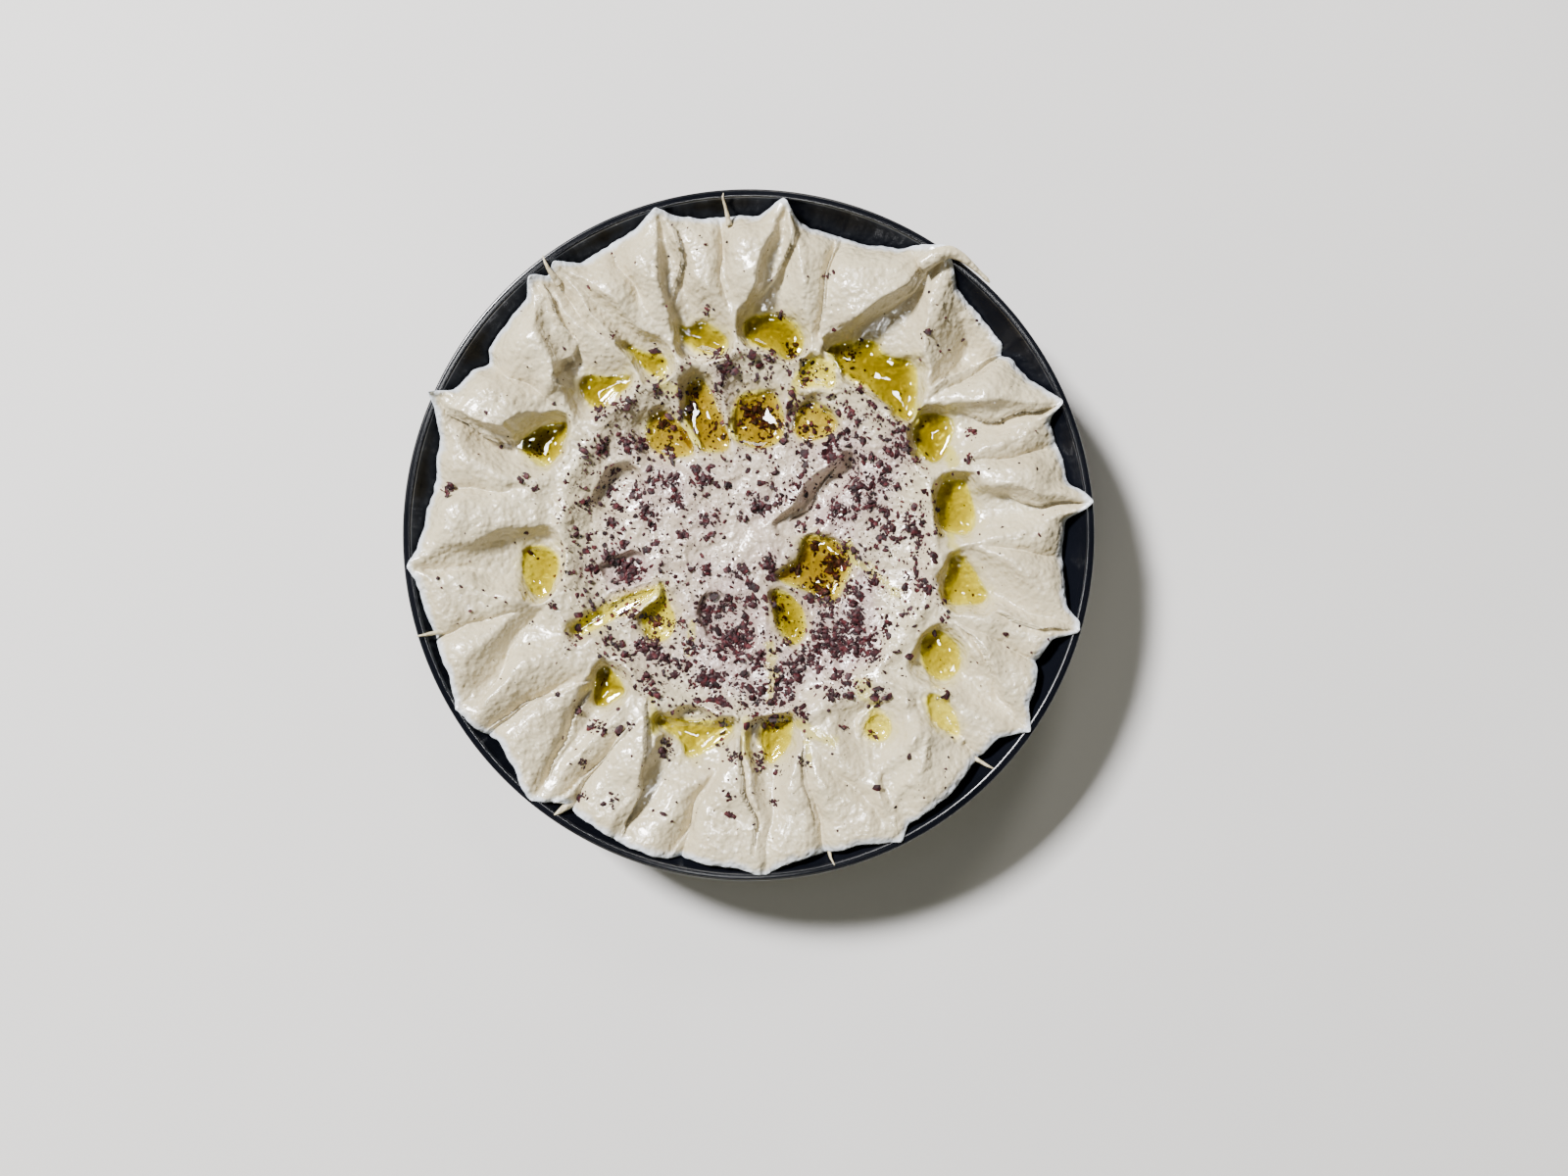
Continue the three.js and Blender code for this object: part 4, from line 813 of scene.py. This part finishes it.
CLUMP_REACH = 54.0
CLUMP_SIZE = (1, 0.45)
LOOSE = (6, 50)  # least radius of the loose flakes, and how much further out they lie
SPARSE = (50, 42)  # and of the sparse ones
STAIN_REACH = 2.4  # how much further than its flakes a heap stains the hummus
FLAKES = dict(count=6500, heaped=0.73, loose=0.245, middle_length=0.56, longest=1.6, subdivisions=1)
CRUMBS = dict(count=8200, heaped=0.5, loose=0.44, middle_length=0.26, longest=0.6, subdivisions=0)
SHORTEST = 0.14


def heap_rows():
    """x, y, spread and share of every heap."""
    random = np.random.default_rng(11)
    clumps = on_circle(random.uniform(0, 360, CLUMPS), CLUMP_REACH * np.sqrt(random.uniform(size=CLUMPS)))
    rows = [(x, y, *size) for size, middles in HEAPS.items() for x, y in middles]
    return np.array(rows + [(x, y, *CLUMP_SIZE) for x, y in clumps.T])


def flake_places(count, heaped, loose, random):
    """Points where flakes lie: a share of them in heaps, a share loose on the middle, the rest far out."""
    rows = heap_rows()
    kind = random.uniform(size=count)
    heap = rows[random.choice(len(rows), count, p=rows[:, 3] / rows[:, 3].sum())]
    in_heap = heap[:, :2].T + random.normal(size=(2, count)) * heap[:, 2] * 0.8
    (inner, wide), (start, width) = LOOSE, SPARSE
    ring = on_circle(random.uniform(0, 360, count), inner + wide * np.sqrt(random.uniform(size=count)))
    sparse = on_circle(random.uniform(0, 360, count), start + width * random.uniform(size=count) ** 1.6)
    return np.where(kind < heaped, in_heap, np.where(kind < heaped + loose, ring, sparse))


def ball(subdivisions):
    """Corners and triangles of a ball of radius 1: an octahedron, or an icosahedron when subdivided once."""
    if not subdivisions:
        corners = np.array([(1, 0, 0), (0, 1, 0), (-1, 0, 0), (0, -1, 0), (0, 0, 1), (0, 0, -1)])
        sides = [(k, (k + 1) % 4) for k in range(4)]
        return corners, np.array([face for j, k in sides for face in ((j, k, 4), (k, j, 5))])
    work = bmesh.new()
    bmesh.ops.create_icosphere(work, subdivisions=subdivisions, radius=1)
    work.verts.index_update()
    corners = np.array([v.co for v in work.verts])
    triangles = np.array([[v.index for v in f.verts] for f in work.faces])
    work.free()
    return corners, triangles


def flakes(random, count, heaped, loose, middle_length, longest, subdivisions):
    """Corners and triangles of rough flat flakes lying on the hummus."""
    x, y = flake_places(count, heaped, loose, random)
    corners, triangles = ball(subdivisions)
    length = np.clip(middle_length * np.exp(0.5 * random.normal(size=count)), SHORTEST, longest)
    width = length * random.uniform(0.45, 0.95, count)
    thick = length * random.uniform(0.2, 0.4, count)
    lumpy = random.uniform(0.5, 1.3, (count, len(corners), 1))
    shape = corners[None] * lumpy * np.stack([length, width, thick], axis=-1)[:, None]
    spin, tilt = random.uniform(0, 2 * np.pi, count), random.normal(0, 0.35, count)
    c, s, ct, st = (f[:, None] for f in (np.cos(spin), np.sin(spin), np.cos(tilt), np.sin(tilt)))
    u, v, w = shape[..., 0], shape[..., 1], shape[..., 2]
    v, w = v * ct - w * st, v * st + w * ct
    lift = surface_at(x, y) + thick * random.uniform(0.1, 1.6, count)
    points = np.stack([u * c - v * s + x[:, None], u * s + v * c + y[:, None], w + lift[:, None]], axis=-1)
    faces = triangles[None] + (np.arange(count) * len(corners))[:, None, None]
    return points.reshape(-1, 3), faces.reshape(-1, 3)


def sumac(material):
    """All the flakes and crumbs of sumac as one mesh, each at its true size."""
    random = np.random.default_rng(20)
    big, big_faces = flakes(random, **FLAKES)
    small, small_faces = flakes(random, **CRUMBS)
    faces = np.vstack([big_faces, small_faces + len(big)])
    piece = new_piece("sumac_flakes", np.vstack([big, small]), faces.tolist(), material, smooth=False)


# ---- Materials ----


def set_inputs(node, **values):
    """Gives a node's inputs their values, or links them to the outputs given."""
    for name, value in values.items():
        socket = node.inputs[name.replace("_", " ")]
        if isinstance(value, bpy.types.NodeSocket):
            node.id_data.links.new(value, socket)
        else:
            socket.default_value = value


def new_node(tree, kind, **values):
    node = tree.nodes.new("ShaderNode" + kind)
    set_inputs(node, **values)
    return node


def new_material(name):
    material = bpy.data.materials.new(name)
    material.use_nodes = True
    return material, material.node_tree, material.node_tree.nodes["Principled BSDF"]


def object_place(tree):
    return new_node(tree, "TexCoord").outputs["Object"]


def noise_node(tree, scale, detail=3.0):
    node = new_node(tree, "TexNoise", Vector=object_place(tree), Scale=scale, Detail=detail, Roughness=0.55)
    return node.outputs["Fac"]


def ramp_node(tree, source, *stops):
    """A colour for each value, or a grey where a stop has a number."""
    node = new_node(tree, "ValToRGB", Fac=source)
    ramp = node.color_ramp
    while len(ramp.elements) < len(stops):
        ramp.elements.new(0.5)
    for element, (place, colour) in zip(ramp.elements, stops):
        element.position = place
        element.color = (*np.broadcast_to(colour, 3), 1)
    return node.outputs["Color"]


def bump_node(tree, source, strength, distance, invert=False, **values):
    node = new_node(tree, "Bump", Height=source, Strength=strength, Distance=distance, **values)
    node.invert = invert
    return node.outputs["Normal"]


def mark_node(tree, name):
    """What the mesh stores under a name."""
    node = new_node(tree, "Attribute")
    node.attribute_name = name
    return node.outputs["Fac"]


def tinted(tree, colour, amount, tint):
    """A colour mixed with a tint by an amount that varies over the surface."""
    node = new_node(tree, "Mix")
    node.data_type = "RGBA"
    tree.links.new(amount, node.inputs[0])
    tree.links.new(colour, node.inputs[6])
    node.inputs[7].default_value = (*tint, 1)
    return node.outputs[2]


TINTS = {"stain": (0.4, 0.29, 0.27), "film": (0.47, 0.41, 0.05), "edge": (0.62, 0.66, 0.7)}


def hummus_material():
    """Paste in two tones, tinted by its marks, with a grain that is smooth where it is wet."""
    material, tree, shader = new_material("hummus_surface")
    colour = ramp_node(tree, noise_node(tree, 60, 4), (0.3, (0.48, 0.41, 0.26)), (0.7, (0.57, 0.5, 0.33)))
    for mark, tint in TINTS.items():
        colour = tinted(tree, colour, mark_node(tree, mark), tint)
    grain = noise_node(tree, 560, 1)
    sheen = new_node(tree, "Mix")
    tree.links.new(mark_node(tree, "wet"), sheen.inputs[0])
    tree.links.new(ramp_node(tree, grain, (0.35, 0.45), (0.65, 0.24)), sheen.inputs[2])
    sheen.inputs[3].default_value = 0.08
    pebbles = tree.nodes.new("ShaderNodeTexVoronoi")
    pebbles.feature = "SMOOTH_F1"
    set_inputs(pebbles, Vector=object_place(tree), Scale=560, Smoothness=0.7)
    pebbled = bump_node(tree, pebbles.outputs["Distance"], 0.7, 0.0006, invert=True)
    set_inputs(shader, Base_Color=colour, Roughness=sheen.outputs[0], Coat_Weight=0.4, Coat_Roughness=0.12,
               Normal=bump_node(tree, grain, 0.6, 0.0008, Normal=pebbled),
               Subsurface_Weight=0.05, Subsurface_Radius=(0.004, 0.003, 0.002), Subsurface_Scale=0.3)
    return material


def dish_material(name, gloss, ior):
    material, tree, shader = new_material(name)
    smudge = noise_node(tree, 45, 4)
    tone = ramp_node(tree, smudge, (0.3, (0.002, 0.0025, 0.004)), (0.8, (0.004, 0.0045, 0.007)))
    shine = ramp_node(tree, smudge, (0.3, gloss), (0.75, gloss + 0.08))
    set_inputs(shader, Base_Color=tone, Roughness=shine, IOR=ior)
    return material


def oil_material(name, colour, density):
    """A clear liquid that is coloured by its depth."""
    material, tree, shader = new_material(name)
    set_inputs(shader, Base_Color=(1, 1, 1, 1), Roughness=0.02, IOR=1.47, Transmission_Weight=1,
               Normal=bump_node(tree, noise_node(tree, 120, 1), 0.1, 0.0005))
    absorb = new_node(tree, "VolumeAbsorption", Color=(*colour, 1), Density=density)
    set_inputs(tree.nodes["Material Output"], Volume=absorb.outputs["Volume"])
    return material


def sumac_material():
    material, tree, shader = new_material("sumac")
    tone = ramp_node(tree, noise_node(tree, 700, 1), (0.3, (0.006, 0.0015, 0.002)),
                     (0.52, (0.024, 0.004, 0.006)), (0.75, (0.085, 0.014, 0.017)))
    set_inputs(shader, Base_Color=tone, Roughness=0.55, Specular_IOR_Level=0.2,
               Normal=bump_node(tree, noise_node(tree, 2500, 2), 0.4, 0.0002))
    return material


# ---- Floor, light and camera ----

FLOOR_SIZE = 3.0
WORLD = ((0.9, 0.93, 1, 1), 0.022)  # colour and strength
CAMERA_PLACE = (0.0102, -0.0153, 0.472)
LENS = 34.2

# Lamps: azimuth, elevation, distance and size in metres, watts and colour. A glint shows only as a reflection.
LAMPS = {
    "key": (138, 50, 2.2, 0.32, 166, (0.99, 0.98, 1)),
    "side": (82, 46, 2.2, 0.4, 8, (1, 0.96, 0.88)),
    "fill": (-100, 40, 1.3, 0.8, 3.6, (1, 0.97, 0.76)),
    "glint_left": (142, 73, 1.4, 0.15, 9, (1, 1, 1)),
    "glint_right": (52, 77, 1.4, 0.1, 4, (1, 1, 1)),
    "glint_front": (-100, 75, 1.4, 0.1, 4, (1, 1, 1)),
}


def floor():
    material, tree, shader = new_material("studio_floor")
    tone = ramp_node(tree, noise_node(tree, 5), (0.3, (0.62, 0.61, 0.59)), (0.7, (0.66, 0.65, 0.63)))
    set_inputs(shader, Base_Color=tone, Roughness=0.8)
    mesh = bpy.data.meshes.new("floor")
    corners = [(x * FLOOR_SIZE, y * FLOOR_SIZE, 0) for x, y in ((-1, -1), (1, -1), (1, 1), (-1, 1))]
    mesh.from_pydata(corners, [], [(0, 1, 2, 3)])
    mesh.materials.append(material)
    piece = placed("floor", mesh)


def studio():
    for name, (azimuth, elevation, distance, size, power, colour) in LAMPS.items():
        data = bpy.data.lights.new(name, "AREA")
        data.energy, data.size, data.color = power, size, colour
        light = placed(name, data)
        flat = on_circle(azimuth, np.cos(np.radians(elevation)) * distance)
        light.location = (*flat, 0.04 + np.sin(np.radians(elevation)) * distance)
        light.rotation_euler = (0.0, np.radians(90 - elevation), np.radians(azimuth))
        light.visible_diffuse = not name.startswith("glint")
    world = bpy.data.worlds.new("studio")
    world.use_nodes = True
    colour, strength = WORLD
    set_inputs(world.node_tree.nodes["Background"], Color=colour, Strength=strength)
    bpy.context.scene.world = world


def camera():
    data = bpy.data.cameras.new("camera")
    data.sensor_width, data.lens, data.clip_start = 36, LENS, 0.01
    eye = placed("camera", data)
    eye.location = CAMERA_PLACE
    bpy.context.scene.camera = eye


# ---- Making ----

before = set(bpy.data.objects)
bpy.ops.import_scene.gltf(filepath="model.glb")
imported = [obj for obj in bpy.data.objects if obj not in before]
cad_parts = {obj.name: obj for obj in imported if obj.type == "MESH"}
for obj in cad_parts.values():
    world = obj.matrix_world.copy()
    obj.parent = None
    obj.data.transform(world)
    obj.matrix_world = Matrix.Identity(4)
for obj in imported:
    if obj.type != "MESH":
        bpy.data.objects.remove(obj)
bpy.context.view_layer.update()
camera()
floor()
studio()
dish_body()
paste = hummus_material()
hummus(paste)
threads(paste)
oils = {kind: oil_material(kind + "_oil", *look) for kind, look in OILS.items()}
for node, kind, level, _, points in POOLS:
    oil_pool(node, level, points, oils[kind])
sumac(sumac_material())
